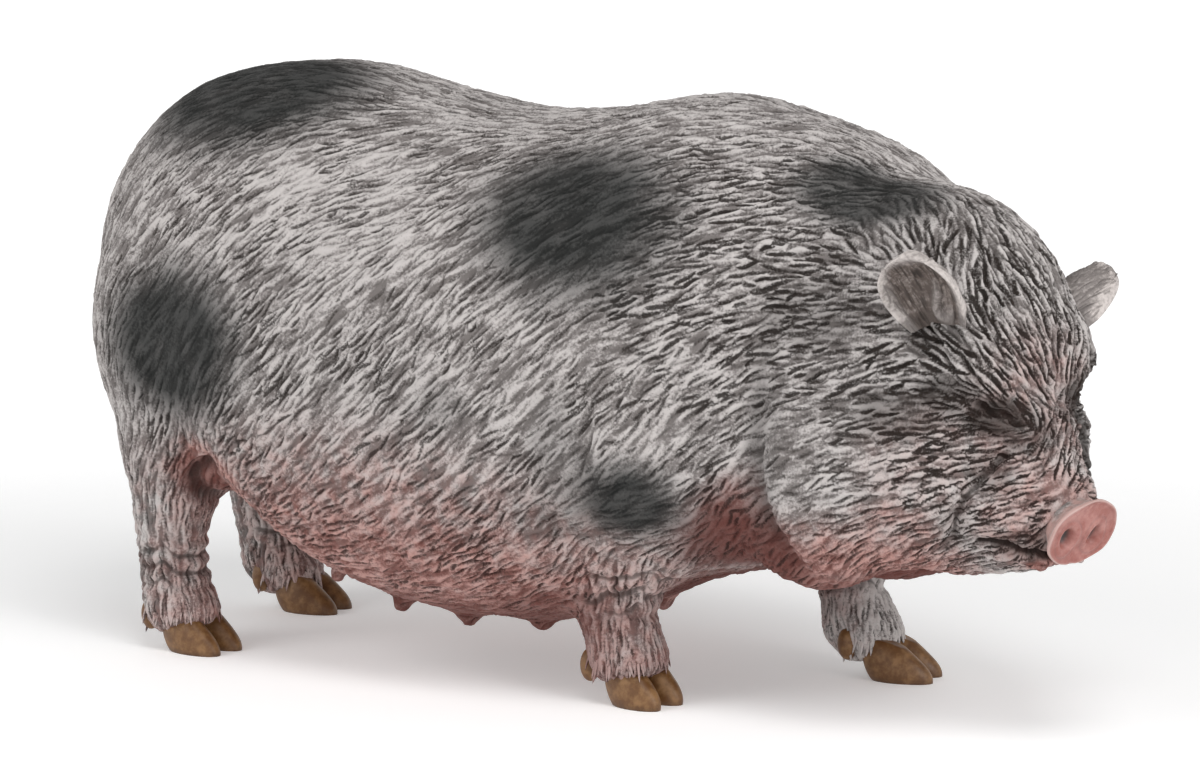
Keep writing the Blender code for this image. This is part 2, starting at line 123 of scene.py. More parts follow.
def newPiece(name, points, quads, material=None, uv=None, marks=None, normals=None):
    mesh = bpy.data.meshes.new(name)
    mesh.vertices.add(len(points))
    mesh.vertices.foreach_set("co", (points * mm).astype(np.float32).ravel())
    mesh.loops.add(quads.size)
    mesh.loops.foreach_set("vertex_index", quads.astype(np.int32).ravel())
    mesh.polygons.add(len(quads))
    mesh.polygons.foreach_set("loop_start", np.arange(0, quads.size, quads.shape[1], dtype=np.int32))
    mesh.update(calc_edges=True)
    mesh.shade_smooth()
    for mark, values in (marks or {}).items():
        held = mesh.attributes.new(mark, "FLOAT", "POINT")
        held.data.foreach_set("value", values.astype(np.float32))
    if uv is not None:
        layer = mesh.uv_layers.new(name="OFBake")
        layer.data.foreach_set("uv", uv.astype(np.float32).ravel())
    if normals is not None:
        mesh.normals_split_custom_set_from_vertices(normals.astype(np.float32).tolist())
    if material:
        mesh.materials.append(material)
    return newObject(name, mesh)


def ringGrid(rows, columns, top=1):  # from 0 to top along the rows, and the way round along the columns
    return np.meshgrid(np.linspace(0, top, rows), np.arange(columns) * 2 * math.pi / columns, indexing="ij")


def ovoid(half, rows, columns):  # a ball from pole to pole, stretched to its three half sizes
    lean, turn = ringGrid(rows, columns, math.pi)
    ball = np.stack([np.sin(lean) * np.cos(turn), -np.sin(lean) * np.sin(turn), np.cos(lean)], -1)
    return ball.reshape(-1, 3) * half


def wrapQuads(rows, columns):  # faces of a grid whose columns close into a ring
    j, i = np.meshgrid(np.arange(rows - 1), np.arange(columns), indexing="ij")
    a, b = j * columns + i, j * columns + (i + 1) % columns
    return np.stack([a, b, b + columns, a + columns], -1).reshape(-1, 4)


def ringUv(rows, columns):  # the same faces laid out flat, each corner with its own share of the way round
    j, i = np.meshgrid(np.arange(rows - 1), np.arange(columns), indexing="ij")
    u = np.stack([i, i + 1, i + 1, i], -1) / columns
    v = np.stack([j, j, j + 1, j + 1], -1) / (rows - 1)
    return np.stack([u, v], -1).reshape(-1, 2)


def ringPiece(name, points, rows, columns, material, marks=None):
    return newPiece(name, points, wrapQuads(rows, columns), material, ringUv(rows, columns), marks)


def finish(piece, slot, *nodes):
    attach(piece, "root")
    if nodes:
        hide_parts(*nodes)
    return piece


# the head's own frame, worked out from the eyes: forward, left, up
def boxOf(node):  # a node's low and high corner in mm
    return [np.array(corner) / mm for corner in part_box(node)]


def middleOf(node):
    low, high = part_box(node)
    return np.array((low + high) / 2) / mm


headLayout = {"eyeForward": 22.9, "noseForward": 27, "noseUp": 17.4, "noseDrop": 25}
eyeMiddle = {name: middleOf(f"eye_{name}") for name in sides}
headLeft = unit((eyeMiddle["left"] - eyeMiddle["right"]) * (1, 1, 0))
headForward = np.array((headLeft[1], -headLeft[0], 0))
headOrigin = (eyeMiddle["left"] + eyeMiddle["right"]) / 2 * (1, 1, 0) - headForward * headLayout["eyeForward"]
headAxes = np.array((headForward, headLeft, (0, 0, 1)))


def fromHead(places):
    return headOrigin + np.array(places, float) @ headAxes


def toHead(places):
    return (places - headOrigin) @ headAxes.T


# shader maths
class Signal:  # a socket that takes part in sums
    def __init__(self, tree, socket):
        self.tree, self.socket = tree, socket

    def node(self, kind, settings, inputs, output=0):  # any node: settings first, then sockets
        made = self.tree.nodes.new(kind)
        for key, value in settings.items():
            setattr(made, key, value)
        for key, value in inputs.items():
            if isinstance(value, Signal):
                self.tree.links.new(value.socket, made.inputs[key])
            elif value is not None:
                made.inputs[key].default_value = value
        return Signal(self.tree, made.outputs[output])

    def maths(self, operation, a, b):
        return self.node("ShaderNodeMath", {"operation": operation}, {0: a, 1: b})

    def __add__(self, other):
        if isinstance(other, tuple):
            return self.vector("ADD", other)
        return self.maths("ADD", self, other)

    def __sub__(self, other):
        return self.maths("SUBTRACT", self, other)

    def __rsub__(self, other):
        return self.maths("SUBTRACT", other, self)

    def __mul__(self, other):
        return self.maths("MULTIPLY", self, other)

    __radd__, __rmul__ = __add__, __mul__

    def most(self, other):
        return self.maths("MAXIMUM", self, other)

    def clamped(self):
        return self.node("ShaderNodeClamp", {}, {0: self})

    def between(self, low, high):  # smooth 0 to 1
        return self.node("ShaderNodeMapRange", {"interpolation_type": "SMOOTHSTEP"}, {0: self, 1: low, 2: high})

    def mixed(self, colourA, colourB):  # self is the share of colour B
        settings = {"data_type": "RGBA", "blend_type": "MIX"}
        return self.node("ShaderNodeMix", settings, {0: self, 6: colourA, 7: colourB}, 2)

    def vector(self, operation, other=None, scale=None, output=0):
        inputs = {0: self, 1: other, 3: scale}
        return self.node("ShaderNodeVectorMath", {"operation": operation}, inputs, output)


def newMaterial(name, roughness, gloss=0.5, coat=0):
    material = bpy.data.materials.new(name)
    material.use_nodes = True
    tree = material.node_tree
    shader = tree.nodes["Principled BSDF"]
    shader.inputs["Roughness"].default_value = roughness
    shader.inputs["Specular IOR Level"].default_value = gloss
    shader.inputs["Coat Weight"].default_value = coat
    place = Signal(tree, tree.nodes.new("ShaderNodeTexCoord").outputs["Object"])
    return material, shader, place.vector("SCALE", scale=1 / mm)


def feed(shader, socket, signal):
    signal.tree.links.new(signal.socket, shader.inputs[socket])


def mark(place, name):  # a value stored on the mesh
    return place.node("ShaderNodeAttribute", {"attribute_name": name}, {}, 2)


def noise(place, scale, detail=3, rough=0.5):
    inputs = {"Vector": place, "Scale": scale, "Detail": detail, "Roughness": rough}
    return place.node("ShaderNodeTexNoise", {}, inputs)


def bump(shader, height, strength, depth):  # fine grain, its depth in mm
    inputs = {"Strength": strength, "Distance": depth * mm, "Height": height}
    feed(shader, "Normal", height.node("ShaderNodeBump", {}, inputs))


def blobs(place, spots):  # the strongest of several soft ovals: 1 in the middle, 0 from the rim out
    total = None
    for x, y, z, rx, ry, rz, strength in spots:
        away = place.vector("SUBTRACT", (x, y, z)).vector("DIVIDE", (rx, ry, rz))
        share = (1 - away.vector("LENGTH", output=1)).between(0, 0.55) * strength
        total = share if total is None else total.most(share)
    return total


print("camera, floor and lights")
viewValues = {
    "azimuth": 29.5, "elevation": 9.13, "distance": 400, "aim": (-0.56, 0, 22),
    "lens": 147.6, "sensor": 36, "shiftUp": 0.0177,
}


def outTo(azimuth, elevation):  # the way from the figure out to a camera or a lamp
    a, e = math.radians(azimuth), math.radians(elevation)
    return Vector((math.sin(a) * math.cos(e), -math.cos(a) * math.cos(e), math.sin(e)))


def makeCamera(values):
    data = bpy.data.cameras.new("camera")
    camera = newObject("camera", data)
    back = outTo(values["azimuth"], values["elevation"])
    camera.location = (Vector(values["aim"]) + back * values["distance"]) * mm
    camera.rotation_euler = back.to_track_quat("Z", "Y").to_euler()
    data.lens, data.sensor_width, data.shift_y = values["lens"], values["sensor"], values["shiftUp"]
    data.clip_start, data.clip_end = 0.01, 10
    bpy.context.scene.camera = camera


lightValues = {  # name: azimuth and elevation of the lamp, its distance, size and power in watts
    "top": (40, 58, 420, 160, 0.5),
    "front": (70, 28, 500, 200, 0.8),
    "left": (-35, 34, 520, 260, 0.6),
}
worldValues = {"overhead": (0.2, 0.2, 0.2, 1), "level": (1, 1, 1, 1), "strength": 1.16}
floorValues = {
    "half": 3000, "colour": (0.97, 0.97, 0.97, 1), "roughness": 0.9, "fade": (70, 170), "glow": 0.2,
}


def makeLights(lamps, world):
    for name, (azimuth, elevation, distance, size, power) in lamps.items():
        data = bpy.data.lights.new(name, "AREA")
        data.size, data.energy = size * mm, power
        lamp, out = newObject(name, data), outTo(azimuth, elevation)
        lamp.location = (out * distance + Vector((0, 0, 20))) * mm
        lamp.rotation_euler = out.to_track_quat("Z", "Y").to_euler()
    sky = bpy.data.worlds.new("studio")
    sky.use_nodes = True
    shade = sky.node_tree.nodes["Background"]
    place = Signal(sky.node_tree, sky.node_tree.nodes.new("ShaderNodeTexCoord").outputs["Generated"])
    rise = place.node("ShaderNodeSeparateXYZ", {}, {0: place}, 2).between(0.12, 0.75)
    sky.node_tree.links.new(rise.mixed(world["level"], world["overhead"]).socket, shade.inputs["Color"])
    shade.inputs["Strength"].default_value = world["strength"]
    bpy.context.scene.world = sky


def makeFloor(values):
    half = values["half"]
    corners = np.array([(-half, -half, 0), (half, -half, 0), (half, half, 0), (-half, half, 0)], float)
    material, shader, place = newMaterial("floorPaint", values["roughness"])
    shader.inputs["Base Color"].default_value = values["colour"]
    feed(shader, "Roughness", noise(place, 0.02) * 0.1 + (values["roughness"] - 0.05))
    shader.inputs["Emission Strength"].default_value = values["glow"]
    shader.inputs["Emission Color"].default_value = (1, 1, 1, 1)
    feed(shader, "Alpha", 1 - place.vector("LENGTH", output=1).between(*values["fade"]))
    newPiece("floor", corners, np.array([[0, 1, 2, 3]]), material)


makeCamera(viewValues)
bpy.context.scene.view_settings.view_transform = "Standard"
makeLights(lightValues, worldValues)
makeFloor(floorValues)

print("skin over the flesh")
skinValues = {"swell": 0.2, "voxel": 0.61, "soften": 14, "halvings": 2}
fleshNodes = ["trunk", "neck", "head", "jaw", "tail"] + [f"leg_{end}_{hand}" for end, hand in legs]


def pointsOf(mesh):
    co = np.empty(len(mesh.vertices) * 3, np.float32)
    mesh.vertices.foreach_get("co", co)
    return co.reshape(-1, 3)


def joinedFlesh(names, swell):  # the flesh nodes' meshes in one, each swollen to close the cuts between them
    points, faces, start = [], [], 0
    for name in names:
        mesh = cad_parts[name].data
        mesh.calc_loop_triangles()
        corners = np.empty(len(mesh.loop_triangles) * 3, np.int32)
        mesh.loop_triangles.foreach_get("vertices", corners)
        merged, back = np.unique(np.round(pointsOf(mesh) / mm, 4), axis=0, return_inverse=True)
        tris = back.ravel()[corners].reshape(-1, 3)
        points.append(merged + swell * pointNormals(merged, tris))
        faces.append(tris + start)
        start += len(merged)
    return np.concatenate(points), np.concatenate(faces)


def evaluated(piece):  # the piece's mesh with its modifiers worked in, as points in mm and quads
    graph = bpy.context.evaluated_depsgraph_get()
    mesh = piece.evaluated_get(graph).to_mesh()
    corners = np.empty(len(mesh.loops), np.int32)
    mesh.loops.foreach_get("vertex_index", corners)
    return pointsOf(mesh).astype(float) / mm, corners.reshape(-1, 4)


def makeSkin(values):
    points, faces = joinedFlesh(fleshNodes, values["swell"])
    raw = newPiece("rawSkin", points, faces)
    fuse = raw.modifiers.new("fuse", "REMESH")
    fuse.mode, fuse.voxel_size = "VOXEL", values["voxel"] * mm
    soften = raw.modifiers.new("soften", "SMOOTH")
    soften.factor, soften.iterations = 0.5, values["soften"]
    coarse = evaluated(raw)[0]
    halve = raw.modifiers.new("halve", "SUBSURF")
    halve.levels = halve.render_levels = values["halvings"]
    fine, quads = evaluated(raw)
    bpy.data.objects.remove(raw)
    return coarse, fine, quads


coarsePoints, skinPoints, skinQuads = makeSkin(skinValues)
smoothPoints = skinPoints  # as they are before folds and hair, for the cuts and the flat layout
print("skin", len(coarsePoints), "coarse points,", len(skinPoints), "fine points")

print("folds")


def fold(width, depth, *line, dark=0, clear=0, onHead=True, mirror=True):
    # a line laid on the skin, in the head's frame or the figure's: width and depth in mm, below 0 for a
    # ridge; how dark its paint is, how far it keeps hair off, and whether the other side has it too
    return {"width": width, "depth": depth, "line": line, "dark": dark, "clear": clear, "head": onHead,
            "mirror": mirror}


foldValues = {
    "mouth": fold(0.2, 0.7, (21.2, -5.2, 16.5), (22.6, -4.7, 16.5), (23.9, -4.1, 16.2), (25.1, -3.1, 15.6),
        (26.1, -2.3, 15.2), dark=1.5, clear=0.25),
    "mouthFront": fold(0.2, 0.7, (25.4, -2.9, 15.5), (26.4, -1.6, 15), (26.8, 0, 14.8), (26.4, 1.6, 15),
        (25.4, 2.9, 15.5), dark=1.5, clear=0.25, mirror=False),
    "lip": fold(0.7, -0.6, (22, -4.6, 15.5), (23.6, -3.8, 15.2), (24.8, -2.7, 14.8), (25.8, -1.4, 14.4),
        clear=0.2),
    "cheek": fold(0.19, 0.42, (23.4, -3.4, 23.6), (22.4, -4.3, 22.4), (21.8, -5.5, 20.9), (21.1, -6.4, 19.6),
        (20.7, -6.5, 18), (19.8, -6.1, 16.2), dark=0.66),
    "cheekRidge": fold(1, -0.45, (22.2, -5.4, 23), (20.9, -7.4, 21.2), (20, -7.8, 18.8), (19, -7.6, 16.6)),
    "eyeSlit": fold(0.22, 0.3, (21.9, -6.2, 26.9), (22.6, -5.3, 26.5), (23.1, -4.4, 26), (23.5, -3.4, 25.6),
        (23.9, -2.6, 25.4), dark=0.7),
    "browCrease": fold(1, 0.5, (19.6, -8, 28.6), (20.8, -7.4, 27.9), (21.9, -6.3, 27.2), (22.8, -5, 26.5),
        dark=0.1),
    "browRidge": fold(1, -0.2, (20.6, -7.7, 29.2), (22, -6.4, 28.4), (23, -5, 27.7), (23.6, -3.6, 27.2)),
    "farBrow": fold(2, 0.55, (21.4, 6.6, 29.6), (22.6, 5.2, 28.6), (23.6, 3.6, 27.8), mirror=False),
    "chin": fold(1.1, -0.45, (24.6, -2.8, 14.9), (25.8, -1.4, 14.6), (26.2, 0, 14.5), (25.8, 1.4, 14.6),
        (24.6, 2.8, 14.9), clear=0.3, mirror=False),
    "lowerLid": fold(0.7, -0.4, (22, -6.2, 25.6), (23, -4.9, 25), (23.7, -3.7, 24.6), (24.3, -2.8, 24.4)),
    "earGroove": fold(0.9, 0.4, (18.3, -8.2, 33.6), (18.9, -8.1, 32), (19.7, -8, 29.7), (20.2, -7.8, 28.4),
        dark=0.1),
    "jowlEdge": fold(1.1, -0.5, (19.3, -8.3, 25.4), (18.1, -9.4, 23.4), (16.6, -10.4, 21.2),
        (15.3, -10.4, 18.5)),
    "neckFold": fold(1, 0.9, (23.4, -14, 35), (22.2, -15.2, 30), (21.8, -15.6, 26), (22.4, -15.4, 20.5),
        (24.2, -14.4, 16.4), (26.6, -11.8, 12.9), dark=0.4, onHead=False),
    "groin": fold(0.8, 0.8, (-29, -15, 17), (-31.2, -13.8, 15.2), (-32.4, -11, 14), (-32.6, -8, 13.4), dark=0.7,
        onHead=False),
    "elbow": fold(1.1, 0.4, (3.6, -18.6, 17), (4.9, -18.3, 15.9), (6.2, -17.5, 14.7), (7.3, -16.3, 13.7),
        (8.1, -15.7, 13.3), dark=0.3, onHead=False),
    "shoulderFold": fold(1.3, 0.4, (6.6, -18.9, 26.4), (7.9, -18.8, 25.3), (8.6, -18.8, 22.6),
        (8.8, -18.5, 19.5), (8.9, -17.4, 16.1), (8.6, -16.2, 13.9), dark=0.15, onHead=False),
    "shoulderRidge": fold(1, -0.35, (9.4, -18.8, 25.6), (10.1, -18.6, 22.6), (10.3, -18.3, 19.5),
        (10.3, -17.2, 16.1), onHead=False),
}


def laidOn(points, line):  # each point of the line moved to the nearest skin point, then evened out
    away = line[:, None, :] - points[None, :, :]
    found = points[np.argmin(np.einsum("ijk,ijk->ij", away, away), axis=1)]
    for _ in range(3):
        found[1:-1] = (found[:-2] + 2 * found[1:-1] + found[2:]) / 4
    return found


def lineReach(points, line):  # distance of each point to the line and how far along it lies, 0 to 1
    best = np.full(len(points), 1e9)
    share = np.zeros(len(points))
    for k in range(len(line) - 1):
        step = line[k + 1] - line[k]
        t = np.clip(dot(points - line[k], step) / max(dot(step, step), 1e-9), 0, 1)
        away = np.linalg.norm(points - line[k] - t[:, None] * step, axis=1)
        closer = away < best
        best = np.where(closer, away, best)
        share = np.where(closer, (k + t) / (len(line) - 1), share)
    return best, share


def pressFolds(points, normals, folds):
    # along each fold's line a point moves by depth x bell of its distance, fading at both ends
    moved, dark = np.zeros((2, len(points)))
    clear = np.zeros(len(points), bool)
    for fold in folds.values():
        for hand in (-1, 1) if fold["mirror"] else (-1,):
            rows = np.array(fold["line"], float)
            rows[:, 1] *= -hand
            rows = fromHead(rows) if fold["head"] else rows
            line = laidOn(coarsePoints, smoothLine(rows, 24))
            reach = 2.6 * fold["width"]
            near = np.all((points > line.min(0) - reach) & (points < line.max(0) + reach), axis=1).nonzero()[0]
            away, share = lineReach(points[near], line)
            ends = softStep(share, -0.02, 0.14) * softStep(1 - share, -0.02, 0.14)
            bell = np.exp(-(away / fold["width"]) ** 2) * ends
            moved[near] -= bell * fold["depth"]
            dark[near] = np.maximum(dark[near], bell * fold["dark"])
            clear[near] |= away < fold["clear"] * ends
    return points + moved[:, None] * normals, dark, clear


skinNormals = pointNormals(skinPoints, skinQuads)
skinPoints, creaseDark, clearOfHair = pressFolds(skinPoints, skinNormals, foldValues)
wrinkleValues = {  # rings round the shins: middle of the leg, reach across, height, reach, pitch and depth
    "legs": ((8.2, -10.4, 4.8, 9.4, 3, 1.5, 0.42), (17.2, 10, 4.8, 9.4, 3, 1.5, 0.42),
             (-37, -11, 5.6, 7.4, 2.8, 1.4, 0.36), (-37, 11, 5.6, 7.4, 2.8, 1.4, 0.36)),
    "wander": ((0.42, 2, 0.4), (0.24, 5, 1.9), (0.13, 9, 4.2)), "sharp": 0.7, "cuff": (3.5, 1.5, 0.4),
    "dark": 0.62, "darkBand": (0.83, 1.32), "thinFrom": 0.35, "thinShare": 0.6,
}
teatValues = {
    "rows": ((-23.4, 6.6), (-16.9, 5), (-10.4, 4.4), (-3.4, 4.8), (3.1, 5.6)), "out": 4.4, "drop": 0.9,
    "reach": 1, "stand": 0.44, "hairFree": 0.2,
}


def wrinkled(points, values):
    # a wave up the leg whose level wanders with the way round, with narrow troughs, fading up and down; the
    # hair over the hoof stands out as a low bell round the foot
    moved, rings = np.zeros((2, len(points)))
    cuffAt, cuffReach, cuff = values["cuff"]
    for x, y, across, height, reach, pitch, depth in values["legs"]:
        away = points - (x, y, 0)
        wayRound = np.arctan2(away[:, 1], away[:, 0])
        wander = sum(size * np.sin(turns * wayRound + phase) for size, turns, phase in values["wander"])
        level = points[:, 2] + wander
        trough = (0.5 + 0.5 * np.cos(2 * math.pi * level / pitch)) ** (1 / values["sharp"])
        onLeg = 1 - softStep(np.hypot(away[:, 0], away[:, 1]), across - 1.2, across + 0.4)
        share = np.exp(-((points[:, 2] - height) / reach) ** 4) * onLeg
        moved -= depth * (trough - 0.3) * share
        moved += cuff * np.exp(-((points[:, 2] - cuffAt) / cuffReach) ** 2) * onLeg
        rings = np.maximum(rings, share * (0.35 + trough))
    return moved, rings


def teats(points, values):  # a low round bell at each teat
    moved = np.zeros(len(points))
    for x, height in values["rows"]:
        for side in (-1, 1):
            away = np.linalg.norm(points - (x, side * values["out"], height - values["drop"]), axis=1)
            moved = np.maximum(moved, np.exp(-(away / values["reach"]) ** 2.6))
    return moved


skinNormals = pointNormals(skinPoints, skinQuads)
teatMark = teats(skinPoints, teatValues)
ringMove, ringShare = wrinkled(skinPoints, wrinkleValues)
skinPoints = skinPoints + (ringMove + teatValues["stand"] * teatMark)[:, None] * skinNormals
ringDark = wrinkleValues["dark"] * softStep(ringShare, *wrinkleValues["darkBand"])
creaseDark = np.maximum(creaseDark, ringDark)
thinned = dice.random(len(skinPoints)) < wrinkleValues["thinShare"]
clearOfHair |= (teatMark > teatValues["hairFree"]) | ((ringShare > wrinkleValues["thinFrom"]) & thinned)
skinNormals = pointNormals(skinPoints, skinQuads)

print("lie of the hair")
# Guides: where, then which way the hair tips point. Body guides in the figure's frame and cheek guides in
# the head's are mirrored; forehead guides, in the head's frame, are not.
combed = {
    "body": (
        (-22, -15, 39, -8, -3, -5), (-14, -16, 38, -9, -2, -3.5), (-10, -12, 42, -8, -5, -3.5),
        (-13, -18, 30, -6.5, -1, -7.5), (-9, -18, 32, -5.7, -2.4, -7.8), (-3, -16, 37, -7.5, -3.5, -5.5),
        (4, -17, 34, -7, -2.5, -6.5), (-5, -19, 30, -6, -2, -7.8), (8, -18, 29, -6.7, -1.7, -7.2),
        (10, -18, 31, -9.5, -1.5, -2.5), (10, -18, 25, -7.4, -1.5, -6.5), (15, -17, 23, -7, -1, -7),
        (19, -16, 25, -8.4, -2, -5), (9, -10, 45, -9, -3, -3), (18, -11, 41, -9, -4, -1.5),
        (17, -2, 47, -7.5, -6, 1), (26, -3, 43, -8.7, -2, 4.3), (25, -9, 41, -8.5, -5, 0),
        (14, -15, 37, -9, -3, -3), (12, -17, 17, -9.5, -2, -2.5), (8, -19, 21, -6.6, 0, -7.5),
        (20, -15, 19, -7, 3, -6.7), (22, -14, 15, -6.2, 6, -5), (-30, -3, 48, -9.5, -2, -1),
        (-38, -5, 46, -8, -2, -6), (-43, -6, 40, -4.5, -1, -9), (-45, -4, 32, 0, 0, -10),
        (-41, -11, 30, -3.5, -2, -9), (-34, -15, 35, -7, -2, -6.8), (-30, -16, 25, -6, -1, -8),
        (-40, -10, 20, -1, 0, -10), (-34, -14, 18, -4.5, 0, -9), (-36, -11, 10, 0, 0, -10),
        (-36, -11, 4, 0.5, 0, -10), (-22, -18, 20, -7.5, 0, -6.5), (-10, -19, 20, -8, 0, -6),
        (0, -19, 22, -7.5, 0, -6.5), (-15, -14, 10, -8.5, 3, -4), (0, -13, 9, -8.5, 3, -4),
        (-10, -5, 5, -10, 1, 0), (9, -12, 10, -1, 0, -10), (8, -11, 4, 1, 0, -10), (18, -11, 10, -1, 0, -10),
        (21, -11, 4, 1, 0, -10), (-20, 0, 48, -10, 0, -0.5), (-5, 0, 46, -10, 0, 0.5),
        (8, 0, 47, -10, 0, -1), (-46, 0, 25, 0, 0, -10),
    ),
    "cheek": (
        (12, -7, 39, -8.2, 5, 1), (13, -10, 34, -9.3, 2, -1.9), (14, -10, 32, -9.7, -1, -2),
        (15, -10, 30, -8, -3.5, -4.7), (16, -9, 27, -8.8, -4, -2), (17, -9, 26, -8.4, -5.4, -1),
        (19, -9, 23, -7.1, -7, -1), (20, -7, 22, -5, -8, -3.9), (18, -10, 21, -7.7, -5.4, -3.3),
        (19, -9, 19.5, -7, -6, -3.7), (20, -8, 18, -6, -7, -3.4), (17, -9, 15, -8.8, -1, -4.6),
        (18.5, -7, 15.5, -7.2, -2, -6.6), (18, -4.6, 14, -8.8, 0, -4.7), (21.6, -6, 17.5, -9, -3.7, -2.2),
        (23, -5, 19, -8, -4.2, -4.3), (23.6, -4.4, 20.5, -6.8, -6.6, -3.2), (23.7, -3.7, 21.5, -6.8, -7, -2.3),
        (21, -5.5, 23.4, -5.2, -8.5, -1.1), (19, -2, 13.3, -9.5, -3, -1.2), (23, -2.5, 14.5, -9.5, 0, -2),
        (10, -13, 27, -8, -5.5, -2.7), (10.5, -13.7, 24.7, -9.3, -3.2, -2), (13, -13, 24, -7.6, -5.5, -3.5),
        (14.5, -12, 22, -7.4, -6, -3), (10, -11, 32, -9, -4, -1.4), (8, -13, 17, -8.5, 0, -5),
        (12, -9, 12.5, -9, 3, -2), (8, 0, 10, -10, 0, 0), (16, 0, 12.5, -10, 0, 0),
    ),
    "forehead": (
        (19, -2.6, 38, 5, -1, -8.4), (18.7, -3.6, 38, 2.7, -7, -6.6), (20.5, -1.4, 36.5, 5.4, 3.7, -7.5),
        (21.5, 0, 35, 3.4, 5.9, -7.3), (20, -4.5, 35.5, 3.4, -3.2, -8.8), (21.3, -4.8, 33, 6.6, 1.5, -7.4),
        (22, -3.6, 33, 5.4, 3.6, -7.6), (22.2, -6.7, 32, 3.4, 5, -8), (20.4, -7.3, 31.8, 7.8, 1, -6),
        (21, -7.2, 30, 8, 3.3, -5), (21.5, 4, 34, 4.5, 0, -8.7), (22.5, 1.5, 32, 2, 1.5, -9.7),
        (23, 3.2, 31, 2.4, -4.6, -8.6), (23.4, 3.2, 29, -1, -4, -9), (22.9, 1, 30, 1, 3, -9.5),
        (22.9, -1.5, 30.6, 0, 8.6, -5), (23.2, -4.3, 28.3, 1, 8, -5.7), (23.5, -0.5, 28, 3.9, 4.4, -8),
        (24, 1, 26.5, 5, -7.7, -4), (25.6, -0.2, 23.6, 1.4, -4.7, -8.7), (18, 5, 38, 4, 3, -8.5),
        (20, 7, 33, 4, 2, -9), (21.5, 7, 30, 3, -3, -9),
    ),
}


def allGuides(values):
    rows = {name: np.array(part, float) for name, part in values.items()}
    flip = np.array((1, -1, 1, 1, -1, 1))
    body = np.concatenate([rows["body"], rows["body"] * flip])
    head = np.concatenate([rows["cheek"], rows["cheek"] * flip, rows["forehead"]])
    places = np.concatenate([body[:, :3], fromHead(head[:, :3])])
    return places, unit(np.concatenate([body[:, 3:], head[:, 3:] @ headAxes]))


guidePlaces, guideWays = allGuides(combed)
guideLines = (guideWays[:, :, None] * guideWays[:, None, :]).reshape(-1, 9)


def hairWay(places, normals, blur=2):
    # near guides weigh most, by one over distance to the fourth; directions are blended as lines, without
    # regard to sign, in the plane of the skin, and the sign comes from the plain blend
    gap = dot(places, places)[:, None] + dot(guidePlaces, guidePlaces)[None, :] - 2 * places @ guidePlaces.T
    weight = 1 / (gap + blur**2) ** 2
    weight /= weight.sum(1, keepdims=True)
    plain = weight @ guideWays
    lines = (weight @ guideLines).reshape(-1, 3, 3)
    flat = np.eye(3) - normals[:, :, None] * normals[:, None, :]
    lines = flat @ lines @ flat
    way = np.linalg.eigh(lines)[1][:, :, 2]
    way = np.where(dot(way, plain)[:, None] < 0, -way, way)
    return unit(np.einsum("ijk,ik->ij", flat, way))


# how coarse the sculpted hair is: soft spots over a base value, in the figure's frame
coarseness = {"base": 1.0, "spots": (
    (38, -9, 35, 9, 1.3), (28, -14, 25, 8, 1.08), (28, 14, 25, 8, 1.08), (43, -10, 19.5, 6, 0.72),
    (36, -15, 20, 6.5, 0.88), (-34, -12, 42, 9, 0.8), (-40, -8, 25, 8, 0.85), (8, -10, 3, 6, 0.62),
    (18, 10, 3, 6, 0.62), (-36, -10, 4, 7, 0.65), (-37, 10, 4, 7, 0.65), (-12, 0, 5, 12, 0.85),
    (41, -12, 25, 2.2, 0.7),
)}


def waves(places, pitch, count=12):  # crossing waves of random ways, about a bell curve of width 1
    ways = unit(dice.normal(size=(count, 3))) * dice.uniform(0.7, 1.5, (count, 1)) * 2 * math.pi / pitch
    return np.sin(places @ ways.T + dice.uniform(0, 2 * math.pi, count)).sum(1) / math.sqrt(count / 2)


def spotted(places, values):
    total = np.full(len(places), values["base"])
    for x, y, z, reach, value in values["spots"]:
        share = np.exp(-(np.linalg.norm(places - (x, y, z), axis=1) / reach) ** 2)
        total += (value - values["base"]) * share
    return total


def blobShare(places, spots):  # the same soft ovals as the paint's, on an array of places
    total = np.zeros(len(places))
    for x, y, z, rx, ry, rz, strength in spots:
        away = np.linalg.norm((places - (x, y, z)) / (rx, ry, rz), axis=1)
        total = np.maximum(total, strength * softStep(1 - away, 0, 0.55))
    return total


